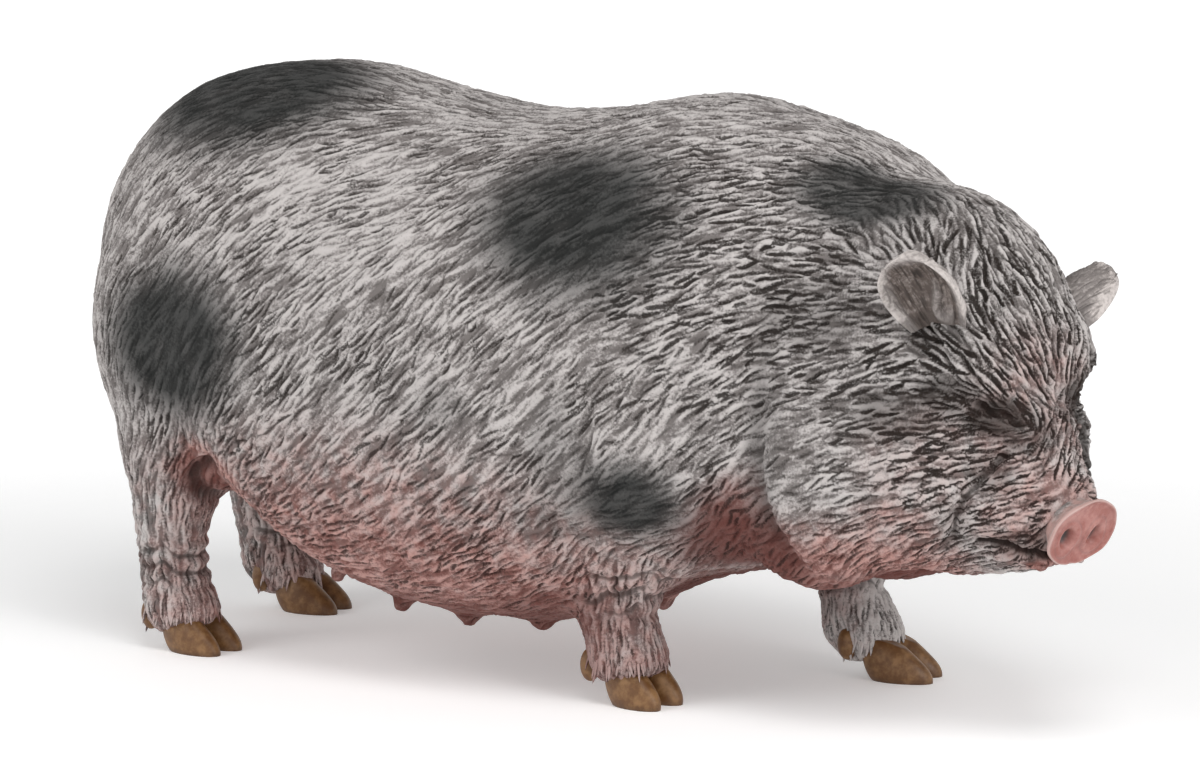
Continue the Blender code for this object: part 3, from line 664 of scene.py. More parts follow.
def scatter(points, normals, layer, free):
    # strokes at random free points of the skin, lying along the hair; where two would crowd each other, in an
    # oval that follows the hair, the one drawn first stays
    spare = free.nonzero()[0]
    count = min(layer["count"], len(spare))
    picked = dice.choice(spare, count, replace=False)
    at, normal = points[picked], normals[picked]
    size = spotted(at, coarseness)
    halfLong = size * dice.uniform(*layer["length"], count)
    halfWide = size * dice.uniform(*layer["width"], count)
    deep = size * dice.uniform(*layer["depth"], count)
    way = hairWay(at, normal)
    across = np.cross(normal, way)
    angle = dice.normal(0, layer["spread"], count)[:, None]
    way, across = way * np.cos(angle) + across * np.sin(angle), across * np.cos(angle) - way * np.sin(angle)
    lush = np.clip(0.55 + 0.25 * waves(at, layer["clump"]) + blobShare(at, lushSpots), 0, 1)
    deep = deep * (0.55 + 0.45 * lush)
    first, second = [], []
    for a, b in nearPairs(at, at, 2.1 * halfLong.max() * layer["crowd"][0]):
        early = a < b
        a, b = a[early], b[early]
        gap = at[b] - at[a]
        room = 1.1 - 0.32 * lush[a]
        longShare = dot(gap, way[a]) / ((halfLong[a] + halfLong[b]) * layer["crowd"][0] * room)
        wideShare = dot(gap, across[a]) / ((halfWide[a] + halfWide[b]) * layer["crowd"][1] * room)
        clash = (longShare**2 + wideShare**2 < 1) & (dot(normal[a], normal[b]) > 0)
        first.append(a[clash])
        second.append(b[clash])
    first, second = np.concatenate(first), np.concatenate(second)
    waiting, kept = np.ones(count, bool), np.zeros(count, bool)
    while waiting.any():
        live = waiting[first] & waiting[second]
        blocked = np.zeros(count, bool)
        blocked[second[live]] = True
        chosen = waiting & ~blocked
        kept |= chosen
        waiting &= ~chosen
        waiting[second[chosen[first]]] = False
    rows = kept.nonzero()[0]
    return {"at": at[rows], "way": way[rows], "across": across[rows], "normal": normal[rows],
            "halfLong": halfLong[rows], "halfWide": halfWide[rows], "deep": deep[rows],
            "bend": dice.normal(0, layer["bend"], len(rows)),
            "wave": dice.normal(0, layer["wave"], len(rows)),
            "dark": dice.uniform(0.35, 1, len(rows)) * (0.55 + 0.45 * lush[rows])}


def engrave(points, strokes):
    # each stroke is a hollow of section (1 - v squared) to the 0.8 across it, tapered to its ends by
    # (1 - u to the 2.4) to the 0.8 and a little wider at its tip; its middle line bows by u squared and wags
    # by sin 3u; the sides beside it fall towards it by a bell of v, so that what stands between is rounded
    depth, rim, dark = np.zeros((3, len(points)))
    reach = float(strokes["halfLong"].max()) * 1.05
    for stroke, point in nearPairs(points, strokes["at"], reach):
        away = points[point] - strokes["at"][stroke]
        u = dot(away, strokes["way"][stroke]) / strokes["halfLong"][stroke]
        v = dot(away, strokes["across"][stroke]) / strokes["halfWide"][stroke]
        near = (np.abs(u) < 1) & (np.abs(v) < 3.2)
        stroke, point, u, v, away = stroke[near], point[near], u[near], v[near], away[near]
        level = np.abs(dot(away, strokes["normal"][stroke])) < 0.8 * strokes["halfLong"][stroke]
        stroke, point, u, v = stroke[level], point[level], u[level], v[level]
        body = (1 - np.abs(u) ** 2.4) ** 0.8 * (0.86 + 0.2 * u)
        v = v - strokes["bend"][stroke] * (u**2 - 0.35) - strokes["wave"][stroke] * np.sin(3 * u)
        v = v / np.maximum(body, 0.08)
        hollow = np.maximum(1 - v**2, 0) ** 0.8 * np.minimum(1, 1.25 * body)
        np.maximum.at(depth, point, hollow * strokes["deep"][stroke])
        np.maximum.at(dark, point, np.sqrt(hollow) * strokes["dark"][stroke])
        edge = np.exp(-((np.abs(v) / 1.9) ** 2)) * np.sqrt(1 - u**2)
        np.maximum.at(rim, point, edge * strokes["deep"][stroke])
    return depth, rim, dark


baldSpots = (  # head frame: forward, left, up and reach of places with no hair grooves
    (27, 0, 17.4, 3.1), (25.6, -1, 20.6, 1.5), (26.4, 0, 14.4, 1),
)


def bald(places):
    head = toHead(places)
    near = np.zeros(len(places), bool)
    for h, l, z, reach in baldSpots:
        near |= np.linalg.norm(head - (h, l, z), axis=1) < reach
    return near


grooveLayers = {  # length, width and depth in mm; crowd keeps strokes apart; dark is the share of wash
    "locks": {"count": 9000, "length": (2.2, 4.4), "width": (0.55, 1), "depth": (0.08, 0.22),
              "spread": 0.12, "crowd": (0.55, 1), "bend": 0.2, "wave": 0.1, "clump": 12, "dark": 0},
    "grooves": {"count": 90000, "length": (0.6, 1.6), "width": (0.14, 0.28), "depth": (0.2, 0.42),
                "spread": 0.13, "crowd": (0.6, 1.12), "bend": 0.5, "wave": 0.25, "clump": 6, "dark": 1},
    "fillers": {"count": 40000, "length": (0.35, 0.9), "width": (0.12, 0.18), "depth": (0.05, 0.16),
                "spread": 0.2, "crowd": (0.8, 1.5), "bend": 0.5, "wave": 0.2, "clump": 3, "dark": 0.6},
}
reliefValues = {
    "near": 5, "crest": 4.2, "hollow": 1.2, "patchRelief": 0.5, "lockRim": 0.3, "lockDepth": 0.8,
    "rim": 0.5, "taken": 0.16,
}
strandValues = {"rounds": 14, "sharp": 10, "own": 0.25, "stand": 0.055}
lushSpots = (  # where the grooves stand closest and darkest: the head, the shoulders and the nape
    tuple(fromHead((19, 0, 27))) + (17, 17, 20, 1),
    (20, -12, 36, 15, 13, 15, 0.55), (20, 12, 36, 15, 13, 15, 0.55),
)


def strandsOf(points, normals, quads, values):
    # fine hair: chance values at the points, evened again and again along edges that lie with the hair
    batch = 20000  # points at a time, to spare memory
    way = [hairWay(points[k:k + batch], normals[k:k + batch]) for k in range(0, len(points), batch)]
    way = np.concatenate(way)
    a, b = quads[:, [0, 1, 2, 3, 0, 1]].ravel(), quads[:, [1, 2, 3, 0, 2, 3]].ravel()
    step = unit(points[b] - points[a])
    weight = (0.5 * np.abs(dot(step, way[a])) + 0.5 * np.abs(dot(step, way[b]))) ** values["sharp"]
    count = len(points)
    total = values["own"] + np.bincount(a, weight, count) + np.bincount(b, weight, count)
    strand = dice.random(count)
    for _ in range(values["rounds"]):
        pulled = np.bincount(a, weight * strand[b], count) + np.bincount(b, weight * strand[a], count)
        strand = (values["own"] * strand + pulled) / total
    strand = (strand - strand.mean()) / strand.std()
    return np.clip(0.5 + 0.25 * strand, 0, 1)


def sculptHair(points, normals, soft):
    # the layers one after another, each keeping to what the ones before left free; then how far a point
    # stands above or below the skin round it says where paint was brushed on and where it ran in
    height, hollow = np.zeros((2, len(points)))
    free = ~(bald(points) | clearOfHair)
    for name, layer in grooveLayers.items():
        strokes = scatter(points, normals, layer, free)
        depth, rim, dark = engrave(points, strokes)
        print(name, len(strokes["at"]), "strokes")
        if name == "locks":
            height += rim * reliefValues["lockRim"] - depth * reliefValues["lockDepth"]
        else:
            height -= np.maximum(depth, rim * reliefValues["rim"])
            free &= evened(np.maximum(hollow, dark), skinQuads, 2) < reliefValues["taken"]
        hollow = np.maximum(hollow, layer["dark"] * dark)
    strand = strandsOf(points, normals, skinQuads, strandValues)
    height += strandValues["stand"] * (2 * strand - 1) * (1 - bald(points))
    height *= 1 - reliefValues["patchRelief"] * soft
    stand = height - evened(height, skinQuads, reliefValues["near"])
    crest = np.clip(0.3 + reliefValues["crest"] * stand, 0, 1)
    hollow = np.clip(np.maximum(hollow, -reliefValues["hollow"] * stand), 0, 1)
    return points + height[:, None] * normals, hollow, crest, strand


sootAndShadeHead = (  # soot-brown airbrush round the eyes, and painted shade on the far cheek, under the ears, in the cheek folds and round the mouth; in the head's frame: forward, left, up, three reaches and strength
    (22.8, -4.6, 25.9, 3.6, 4.2, 2.3, 1), (20.4, -7.6, 27.6, 3.8, 3.4, 2.2, 0.8),
    (24.2, -2.4, 24.6, 3.4, 2.6, 2.4, 0.6), (22.6, 4.8, 26.4, 4, 4.4, 2.9, 1),
    (20.4, 7.6, 28, 4, 3.6, 2.6, 0.85), (21.8, 6.4, 22.5, 6, 4.4, 6, 1),
    (18.4, -8.4, 32.2, 2.2, 2.2, 2.6, 0.4), (18.4, 8.4, 32.2, 2.2, 2.2, 2.6, 0.4),
    (20.4, -6.8, 17.4, 2.2, 2.2, 3.2, 0.3), (17.4, -9.8, 26, 5.2, 3.6, 2.8, 0.6),
    (22.4, -4.6, 21.6, 2.6, 2.6, 2.6, 0.45), (24.4, -3.6, 16.4, 3.4, 2.4, 1.6, 0.6),
    (10, -11, 33, 6, 5, 4, 0.45),
)
hideValues = {
    "ridge": (0.50, 0.468, 0.455, 1), "plain": (0.165, 0.148, 0.142, 1), "wash": (0.015, 0.011, 0.009, 1),
    "washLight": (0.062, 0.044, 0.036, 1),
    "pinkRidge": (0.47, 0.275, 0.245, 1), "pinkPlain": (0.20, 0.088, 0.075, 1),
    "pinkWash": (0.03, 0.0125, 0.0105, 1), "patch": (0.012, 0.013, 0.0125, 1),
    "patchRidgeAndShade": (0.035, 0.036, 0.035, 1), "sootAndShade": (0.026, 0.0205, 0.0175, 1),
    "deep": (0.115, 0.036, 0.029, 1), "roughness": 0.62, "gloss": 0.12,
    "cover": {"deep": 0.88, "shade": 0.6, "sootAndShade": 0.85, "wash": 0.84, "headWash": 0.13, "patch": 0.96},
    "darkSpots": (
        (-29, -6, 46, 14.5, 11, 9.5, 1), (-30.5, -14.5, 27, 11, 10, 9, 1), (5.5, -12.5, 37.5, 13, 9, 10, 1),
        (27.5, -8, 42, 8.5, 6, 4.5, 0.9), (11, -15.5, 18.3, 6.5, 6, 5, 1), (-4, -18, 24, 4, 4, 3.5, 0.35),
        (-15, 15, 33, 12.5, 9, 9.5, 1), (16, 15.5, 27, 9.5, 8, 8, 0.95), (-38, 11, 30, 8.5, 8, 8.5, 0.95),
        (31, 9, 41, 7, 6, 5, 0.8),
    ),
    "pinkSpots": (
        (-12, 0, 3, 40, 40, 26, 1), (28, -11, 12.5, 13, 10, 9, 1), (20, -12, 16, 5, 6, 9, 0.85),
        (30, 8, 13, 14, 14, 8, 0.9), (-29, -12, 15.5, 7, 8, 5.5, 0.9), (44, -10, 18, 7.5, 7, 6.5, 0.55),
        (8, -10, 8, 6, 6, 7, 0.45), (-36, -11, 6, 6, 6, 7, 0.3), (33, -15, 16, 6, 4, 5, 0.6),
        (44, -10.2, 14.3, 3.2, 3.2, 1.4, 1), (41.5, -8, 25, 9, 9, 10, 0.3), (36, -14, 22, 8, 6, 7, 0.2),
    ),
    "deepAndShadeSpots": (  # darker, redder paint, with painted shade, at the throat, between the forelegs, under the belly and in the folds
        (27, -5, 10.5, 13, 12, 6.5, 1), (14, 0, 9, 13, 12, 7, 1), (-31, -12, 15, 3.6, 4, 3, 0.7),
        (2, -8, 7, 10, 9, 6, 0.7), (-8, -6, 2, 28, 14, 8.5, 0.75), (20, -12.5, 14, 8.5, 7.5, 9, 1),
    ),
    "paleAndLitSpots": (  # where the dry brush went twice, on the flank's top, and painted light on the forelegs, most on the far one
        (-15, -16, 39, 12, 9, 7, 0.34), (-15, 16, 39, 12, 9, 7, 0.34), (17.2, 10, 5, 7, 7, 9, 0.45),
        (8.2, -10.4, 5, 7, 7, 9, 0.15),
    ),
    "greySpots": (  # legs, where the belly's pink thins out
        (8.2, -10.4, 4, 7, 7, 10, 0.3), (17.2, 10, 4, 7, 7, 10, 0.3), (-37, -11, 5, 9, 8, 12, 0.3),
        (-37, 11, 5, 9, 8, 12, 0.3),
    ),
    "shadeSpots": (  # grey-brown airbrush with painted shade, along the shoulder fold and behind the elbow
        (6.2, -19, 21, 3, 3, 7, 0.75), (5.2, -18, 16.5, 4.2, 3, 3.2, 0.6), (23, -15, 22, 3, 4, 9, 0.5),
        (6.2, 19, 21, 3, 3, 7, 0.75), (5.2, 18, 16.5, 4.2, 3, 3.2, 0.6), (23, 15, 22, 3, 4, 9, 0.5),
    ),
}

underPatches = blobShare(skinPoints, hideValues["darkSpots"])
skinPoints, hollow, crest, strand = sculptHair(skinPoints, skinNormals, underPatches)
skinNormals = pointNormals(skinPoints, skinQuads)

print("hide paint")


def makeHide(values):
    # ridges are brushed light, hollows hold a dark wash; soft airbrushed ovals lay pink, soot and near-black
    # over them, and other ovals paint shade under the body, in the folds, behind the elbows and on the far
    # cheek, and paint light on the forelegs
    material, shader, place = newMaterial("hidePaint", values["roughness"], values["gloss"])
    cover = values["cover"]
    drift, patches, speck = noise(place, 0.3, 4), noise(place, 0.9, 3), noise(place, 4.2, 4, 0.7)
    grain = noise(place + (0, 0, 40), 5.5, 3, 0.65)
    patch = blobs(place, values["darkSpots"])
    patch = (patch + (drift - 0.5) * 0.35 * patch.between(0, 0.3)).clamped()
    pink = blobs(place, values["pinkSpots"])
    pink = pink + (patches - 0.5) * 1.3 * pink.between(0, 0.4) - blobs(place, values["greySpots"])
    pink = pink.clamped()
    sootAndShade = [tuple(fromHead(row[:3])) + row[3:] for row in sootAndShadeHead]
    sootAndShade = (blobs(place, sootAndShade) * (0.75 + drift * 0.5)).clamped()
    shade = blobs(place, values["shadeSpots"]) * (0.3 + drift * 0.9)
    deep = blobs(place, values["deepAndShadeSpots"]).most(mark(place, "teat") * 0.5)
    onHead = blobs(place, lushSpots)
    # dry brush on the flank's top, and painted light on the forelegs, most on the far one
    fine = (mark(place, "strand") - 0.5) * 1.3 + (speck - 0.5) * 2.3 + blobs(place, values["paleAndLitSpots"])
    brushed = mark(place, "crest") * 0.9 + fine + (drift - 0.5) + 0.12 + onHead * 0.03
    brushed = brushed.between(-0.1, 1)
    washed = mark(place, "hollow") * ((grain - 0.5) * 2.4 + 0.9 + onHead * 0.15)
    specks = (grain - 0.6 + mark(place, "hollow") * 0.06).between(0, 0.12) * 0.55
    creased = (mark(place, "crease") * (speck + 0.5)).between(0.15, 0.8)
    washed = washed.between(0.14, 0.74).most(specks).most(creased)
    grey = brushed.mixed(values["plain"], values["ridge"])
    rose = brushed.mixed(values["pinkPlain"], values["pinkRidge"])
    dark = brushed.mixed(values["patch"], values["patchRidgeAndShade"])
    # darker, redder paint and painted shade under the body, between the forelegs and in the folds
    body = (deep * cover["deep"]).mixed(pink.mixed(grey, rose), values["deep"])
    # painted shade with grey-brown airbrush along the shoulder fold and behind the elbow, in the patches' ridge
    # colour
    body = (shade * cover["shade"]).mixed(body, values["patchRidgeAndShade"])
    # soot-brown airbrush round the eyes, and painted shade on the far cheek, under the ears and in the cheek
    # folds
    body = (sootAndShade * cover["sootAndShade"]).mixed(body, values["sootAndShade"])
    stain = (pink * 0.8).mixed(values["wash"], values["pinkWash"])
    stain = (grain.between(0.5, 0.75) * 0.45).mixed(stain, values["washLight"])
    worn = (washed * (cover["wash"] + onHead * cover["headWash"])).mixed(body, stain)
    feed(shader, "Base Color", (patch * cover["patch"]).mixed(worn, dark))
    feed(shader, "Roughness", values["roughness"] + (speck - 0.5) * 0.2 + washed * 0.1)
    bump(shader, speck, 0.6, 0.12)
    return material


hidePaint = makeHide(hideValues)

print("skin pieces")
skinMarks = {"hollow": hollow, "crest": crest, "crease": creaseDark, "teat": teatMark, "strand": strand}
trunkMiddle = middleOf("trunk")


def discUv(away, quads, widest=2.2):
    # how far a place leans from straight ahead, of the widest lean, is its distance from the middle of the
    # disc, and which way it leans is the way round
    lean = np.arctan2(np.hypot(away[:, 1], away[:, 2]), away[:, 0]) / widest
    wayRound = np.arctan2(away[:, 2], away[:, 1])
    flat = 0.5 + 0.49 * lean[:, None] * np.stack([np.cos(wayRound), np.sin(wayRound)], 1)
    return flat[quads].reshape(-1, 2)


def cornerUv(u, v, quads):  # each corner's place; faces across the seam are carried past 1, then all fits in
    uq = u[quads]
    uq = np.where((uq.max(1) - uq.min(1) > 0.5)[:, None] & (uq < 0.5), uq + 1, uq)
    return np.stack([uq / 1.02, v[quads]], -1).reshape(-1, 2)


skinCuts = {"face": 17, "head": 6, "rump": -36, "loin": (-99, -15), "barrel": (-15, 5), "shoulder": (5, 99)}


def skinRegions(points, quads):
    # head before the jowls' back, four legs below the elbows and hocks, and the barrel in slabs and sides
    middle = points[quads].mean(1)
    head = toHead(middle)
    region = np.full(len(quads), -1)
    names = []

    def claim(name, inside):
        region[inside & (region < 0)] = len(names)
        names.append(name)

    for end, hand in legs:
        low, high = boxOf(f"leg_{end}_{hand}")
        inside = np.all((middle > low - 0.6) & (middle < high + (0.6, 0.6, -2)), axis=1)
        claim(f"skin_leg_{end}_{hand}", inside)
    claim("skin_face", head[:, 0] > skinCuts["face"])
    claim("skin_head_right", (head[:, 0] > skinCuts["head"]) & (head[:, 1] < 0))
    claim("skin_head_left", head[:, 0] > skinCuts["head"])
    claim("skin_rump", middle[:, 0] < skinCuts["rump"])
    for slab in ("loin", "barrel", "shoulder"):
        start, end = skinCuts[slab]
        for hand, side in sides.items():
            inside = (middle[:, 0] > start) & (middle[:, 0] <= end) & (side * middle[:, 1] >= 0)
            claim(f"skin_{slab}_{hand}", inside)
    return region, names


def skinUv(name, points, quads):
    if name.startswith("skin_leg"):
        middle = points.mean(0)
        away = points - middle
        v = (points[:, 2] - points[:, 2].min()) / np.ptp(points[:, 2])
        return cornerUv(np.arctan2(away[:, 1], away[:, 0]) / (2 * math.pi) + 0.5, v, quads)
    if name == "skin_rump":
        return discUv((points - (-30, 0, 28)) * (-1, 1, 1), quads)
    if name == "skin_face":
        return discUv(toHead(points) - (12, 0, 24), quads)
    away = points - trunkMiddle
    wayRound = np.abs(np.arctan2(away[:, 1], away[:, 2])) / math.pi
    v = (points[:, 0] - points[:, 0].min()) / np.ptp(points[:, 0])
    return np.stack([wayRound, v], -1)[quads].reshape(-1, 2)


def splitSkin():
    region, names = skinRegions(smoothPoints, skinQuads)
    pieces = {}
    for index, name in enumerate(names):
        quads = skinQuads[region == index]
        used, local = np.unique(quads, return_inverse=True)
        local = local.reshape(-1, 4)
        marks = {key: values[used] for key, values in skinMarks.items()}
        uv = skinUv(name, smoothPoints[used], local)
        pieces[name] = newPiece(name, skinPoints[used], local, hidePaint, uv, marks, skinNormals[used])
        print(name, 2 * len(quads), "triangles")
    return pieces


skinPieces = splitSkin()
skinNodes = {f"skin_leg_{end}_{hand}": [f"leg_{end}_{hand}"] for end, hand in legs}
skinNodes.update({"skin_face": ["head", "jaw"], "skin_rump": ["tail"], "skin_barrel_right": ["trunk"],
                  "skin_head_right": ["neck"]})
for name, piece in skinPieces.items():
    finish(piece, "hide", *skinNodes.get(name, ()))

print("eyes")
eyeValues = {
    "radius": 0.7, "inward": (0.95, 1, 0.15), "rings": 24,
    "colour": (0.012, 0.009, 0.008, 1), "ring": (0.022, 0.015, 0.011, 1),
}


def makeEyes(values):
    material, shader, place = newMaterial("eyeGloss", roughness=0.12, gloss=0.6, coat=0.5)
    feed(shader, "Base Color", noise(place, 1.5).between(0.4, 0.7).mixed(values["colour"], values["ring"]))
    rows, columns = values["rings"], 2 * values["rings"]
    ball = ovoid(values["radius"], rows, columns)
    for hand, side in sides.items():
        back = np.array(values["inward"]) * (1, side, 1) @ headAxes
        eye = ringPiece(f"eyeball_{hand}", eyeMiddle[hand] - back + ball, rows, columns, material)
        finish(eye, "eye", f"eye_{hand}")


makeEyes(eyeValues)

print("ears")
earValues = {
    "cup": 3, "tipCurl": 0.8, "thick": 0.5, "innerRim": 1.1, "outerRim": 0.45, "blunt": 0.91, "sunk": 1.7,
    "rows": 130, "columns": 260, "lobe": 0.75, "lobeReach": 0.11,
    "lobeLine": ((0.34, 0.50), (0.18, 0.36), (0.02, 0.16), (0.30, 0.10), (0.62, 0.16)),
    "right": {"root": (19.3, -7.6, 34.6), "lean": 28, "nod": 4, "turn": 64, "size": (6.1, 7.5),
              "rootShare": 0.72, "taper": (0.5, 2.4)},
    "left": {"root": (18, 6.9, 33.6), "lean": 45, "nod": 2, "turn": 84, "size": (6.6, 6.5),
             "rootShare": 1.0, "taper": (0.0, 2.0)},
}
earPaint = {
    "ridge": (0.56, 0.51, 0.485, 1), "plain": (0.22, 0.195, 0.185, 1), "inside": (0.11, 0.085, 0.074, 1),
    "insideRidge": (0.38, 0.33, 0.305, 1),
}


def earFrame(values, side):
    forward, out, up = values["root"]
    turned = Matrix.Rotation(math.radians(-side * values["lean"]), 3, "X")
    turned = turned @ Matrix.Rotation(math.radians(values["nod"]), 3, "Y")
    turned = turned @ Matrix.Rotation(math.radians(side * values["turn"]), 3, "Z")
    return np.array(turned), np.array((forward, out, up))


def earSurface(values, own, side):
    # up the ear, and round its flattened section: out along the front, over the rim and back behind. The
    # middle sheet is a bowl, forward by cup x (1 - (1 - across squared)(1 - 0.75 up to the fourth)), whose
    # half width opens by a sine and rounds off to the tip; the wall swells at the rim, more on the side
    # towards the brow; a low lobe curls inside the foot of the bowl
    rows, columns = values["rows"], values["columns"]
    rise, turn = ringGrid(rows, columns)
    up = 1 - (1 - rise) ** 2
    across = np.sign(np.cos(turn)) * np.abs(np.cos(turn)) ** 0.8
    face = np.sign(np.sin(turn)) * np.abs(np.sin(turn)) ** 0.6
    wide, tall = own["size"]
    opening = np.sin(0.5 * math.pi * np.minimum(1, 2 * up))
    half = 0.5 * wide * (own["rootShare"] + (1 - own["rootShare"]) * opening)
    start, power = own["taper"]
    half = half * np.sqrt(np.maximum(0, 1 - (np.maximum(0, up - start) / (1 - start)) ** power))
    inner = 0.5 + 0.5 * np.tanh(-3 * side * across)  # 1 towards the brow
    brim = softStep(np.abs(across), 0.7, 0.98) * softStep(up, 0, 0.25)
    brim = np.maximum(brim, softStep(up, 0.86, 0.985))
    sheet = values["cup"] * (1 - (1 - across**2) * (1 - 0.75 * up**4))
    sheet = sheet * (0.35 + 0.65 * half / (0.5 * wide)) * (0.5 + 0.5 * up)
    sheet = sheet + values["tipCurl"] * up**3
    rim = values["outerRim"] + (values["innerRim"] - values["outerRim"]) * inner
    blunt = np.maximum(0, up - values["blunt"]) / (1 - values["blunt"])
    thick = (values["thick"] + rim * brim) * np.sqrt(np.maximum(0, 1 - blunt**2))
    spot = np.stack([-side * across.ravel(), up.ravel(), np.zeros(across.size)], 1)
    away, share = lineReach(spot, smoothLine([row + (0,) for row in values["lobeLine"]], 16))
    ends = softStep(share, -0.05, 0.15), softStep(1 - share, -0.05, 0.15)
    lobe = np.exp(-(away / values["lobeReach"]) ** 2) * ends[0] * ends[1]
    lobe = values["lobe"] * lobe.reshape(up.shape) * (face > 0)
    place = np.stack([sheet + (0.5 * thick + lobe) * face, across * half, up * tall - values["sunk"]], -1)
    inside = softStep(face, 0.2, 0.8) * (1 - softStep(np.abs(across), 0.66, 0.86))
    inside = inside * (1 - softStep(up, 0.80, 0.93))
    inside = inside * (1 - np.clip(lobe * 1.3, 0, 0.8))
    return place.reshape(-1, 3), inside.ravel(), up.ravel(), across.ravel(), brim.ravel(), face.ravel() < -0.3


earHair = {  # fine lines within, and sculpted hair on the brim and the back
    "fine": {"count": 120, "length": (0.6, 1.4), "width": (0.05, 0.08), "depth": (0.05, 0.1), "dark": 0.8},
    "coarse": {"count": 60, "length": (0.4, 1), "width": (0.09, 0.15), "depth": (0.06, 0.12), "dark": 1},
}


def earStrokes(points, normals, up, across, layer, near):
    # lines that fan out from the ear's root: up, and outwards by how far out they start
    spare = near.nonzero()[0]
    count = min(layer["count"], len(spare))
    picked = dice.choice(spare, count, replace=False)
    fan = np.stack([0 * up, 0.55 * across, 1 + 0 * up], 1)[picked]
    way = unit(fan - dot(fan, normals[picked])[:, None] * normals[picked])
    return {"at": points[picked], "way": way, "across": np.cross(normals[picked], way),
            "normal": normals[picked], "halfLong": dice.uniform(*layer["length"], count),
            "halfWide": dice.uniform(*layer["width"], count), "deep": dice.uniform(*layer["depth"], count),
            "bend": dice.normal(0, 0.4, count), "wave": dice.normal(0, 0.2, count),
            "dark": dice.uniform(0.4, 1, count)}


def makeEars(values, paint):
    material, shader, place = newMaterial("earPaint", roughness=0.55, gloss=0.3)
    speck, drift = noise(place, 3, 4, 0.65), noise(place, 0.5, 3)
    brushed = (mark(place, "crest") + (speck - 0.5) * 1.5 + (drift - 0.5)).between(0, 0.9)
    body = mark(place, "inside").mixed(brushed.mixed(paint["plain"], paint["ridge"]),
                                       brushed.mixed(paint["inside"], paint["insideRidge"]))
    washed = (mark(place, "hollow") * (0.6 + speck * 0.7)).between(0.15, 0.8)
    feed(shader, "Base Color", (washed * 0.88).mixed(body, hideValues["wash"]))
    bump(shader, noise(place, 5, 4, 0.6), 0.3, 0.08)
    rows, columns = values["rows"], values["columns"]
    for hand, side in sides.items():
        points, inside, up, across, brim, behind = earSurface(values, values[hand], side)
        normals = pointNormals(points, wrapQuads(rows, columns))
        height, hollow = np.zeros((2, len(points)))
        for name, near in (("coarse", behind & (up < 0.9)), ("fine", inside > 0.3)):
            strokes = earStrokes(points, normals, up, across, earHair[name], near)
            depth, rim, dark = engrave(points, strokes)
            height -= depth
            hollow = np.maximum(hollow, dark * earHair[name]["dark"])
        points = points + height[:, None] * normals
        turned, root = earFrame(values[hand], side)
        placed = fromHead(points @ turned.T + root)
        # darker and less brushed towards the ear's root, where it meets the head
        root = 1 - softStep(up, 0.14, 0.24)
        crest = np.clip(0.25 + 4 * height + 0.35 * brim, 0, 1) * (1 - 0.4 * root)
        hollow = np.maximum(hollow * (0.5 + 0.3 * inside), 0.35 * root)
        marks = {"hollow": hollow, "crest": crest, "inside": inside}
        ear = ringPiece(f"earcup_{hand}", placed, rows, columns, material, marks)
        finish(ear, "hide", f"ear_{hand}")


makeEars(earValues, earPaint)

print("nose disc")
noseValues = {
    "half": (3.5, 2.88), "rings": 110, "columns": 180, "nostrilAcross": 1.4, "nostrilUp": -0.3,
    "nostrilHalf": (0.62, 0.85), "nostrilDeep": 0.8, "ringRise": 0.13, "back": -2.5, "front": 0.62,
    "face": (0.29, 0.10, 0.082, 1), "light": (0.42, 0.20, 0.175, 1), "edge": (0.50, 0.36, 0.33, 1),
    "pit": (0.085, 0.075, 0.075, 1), "roughness": 0.42,
}


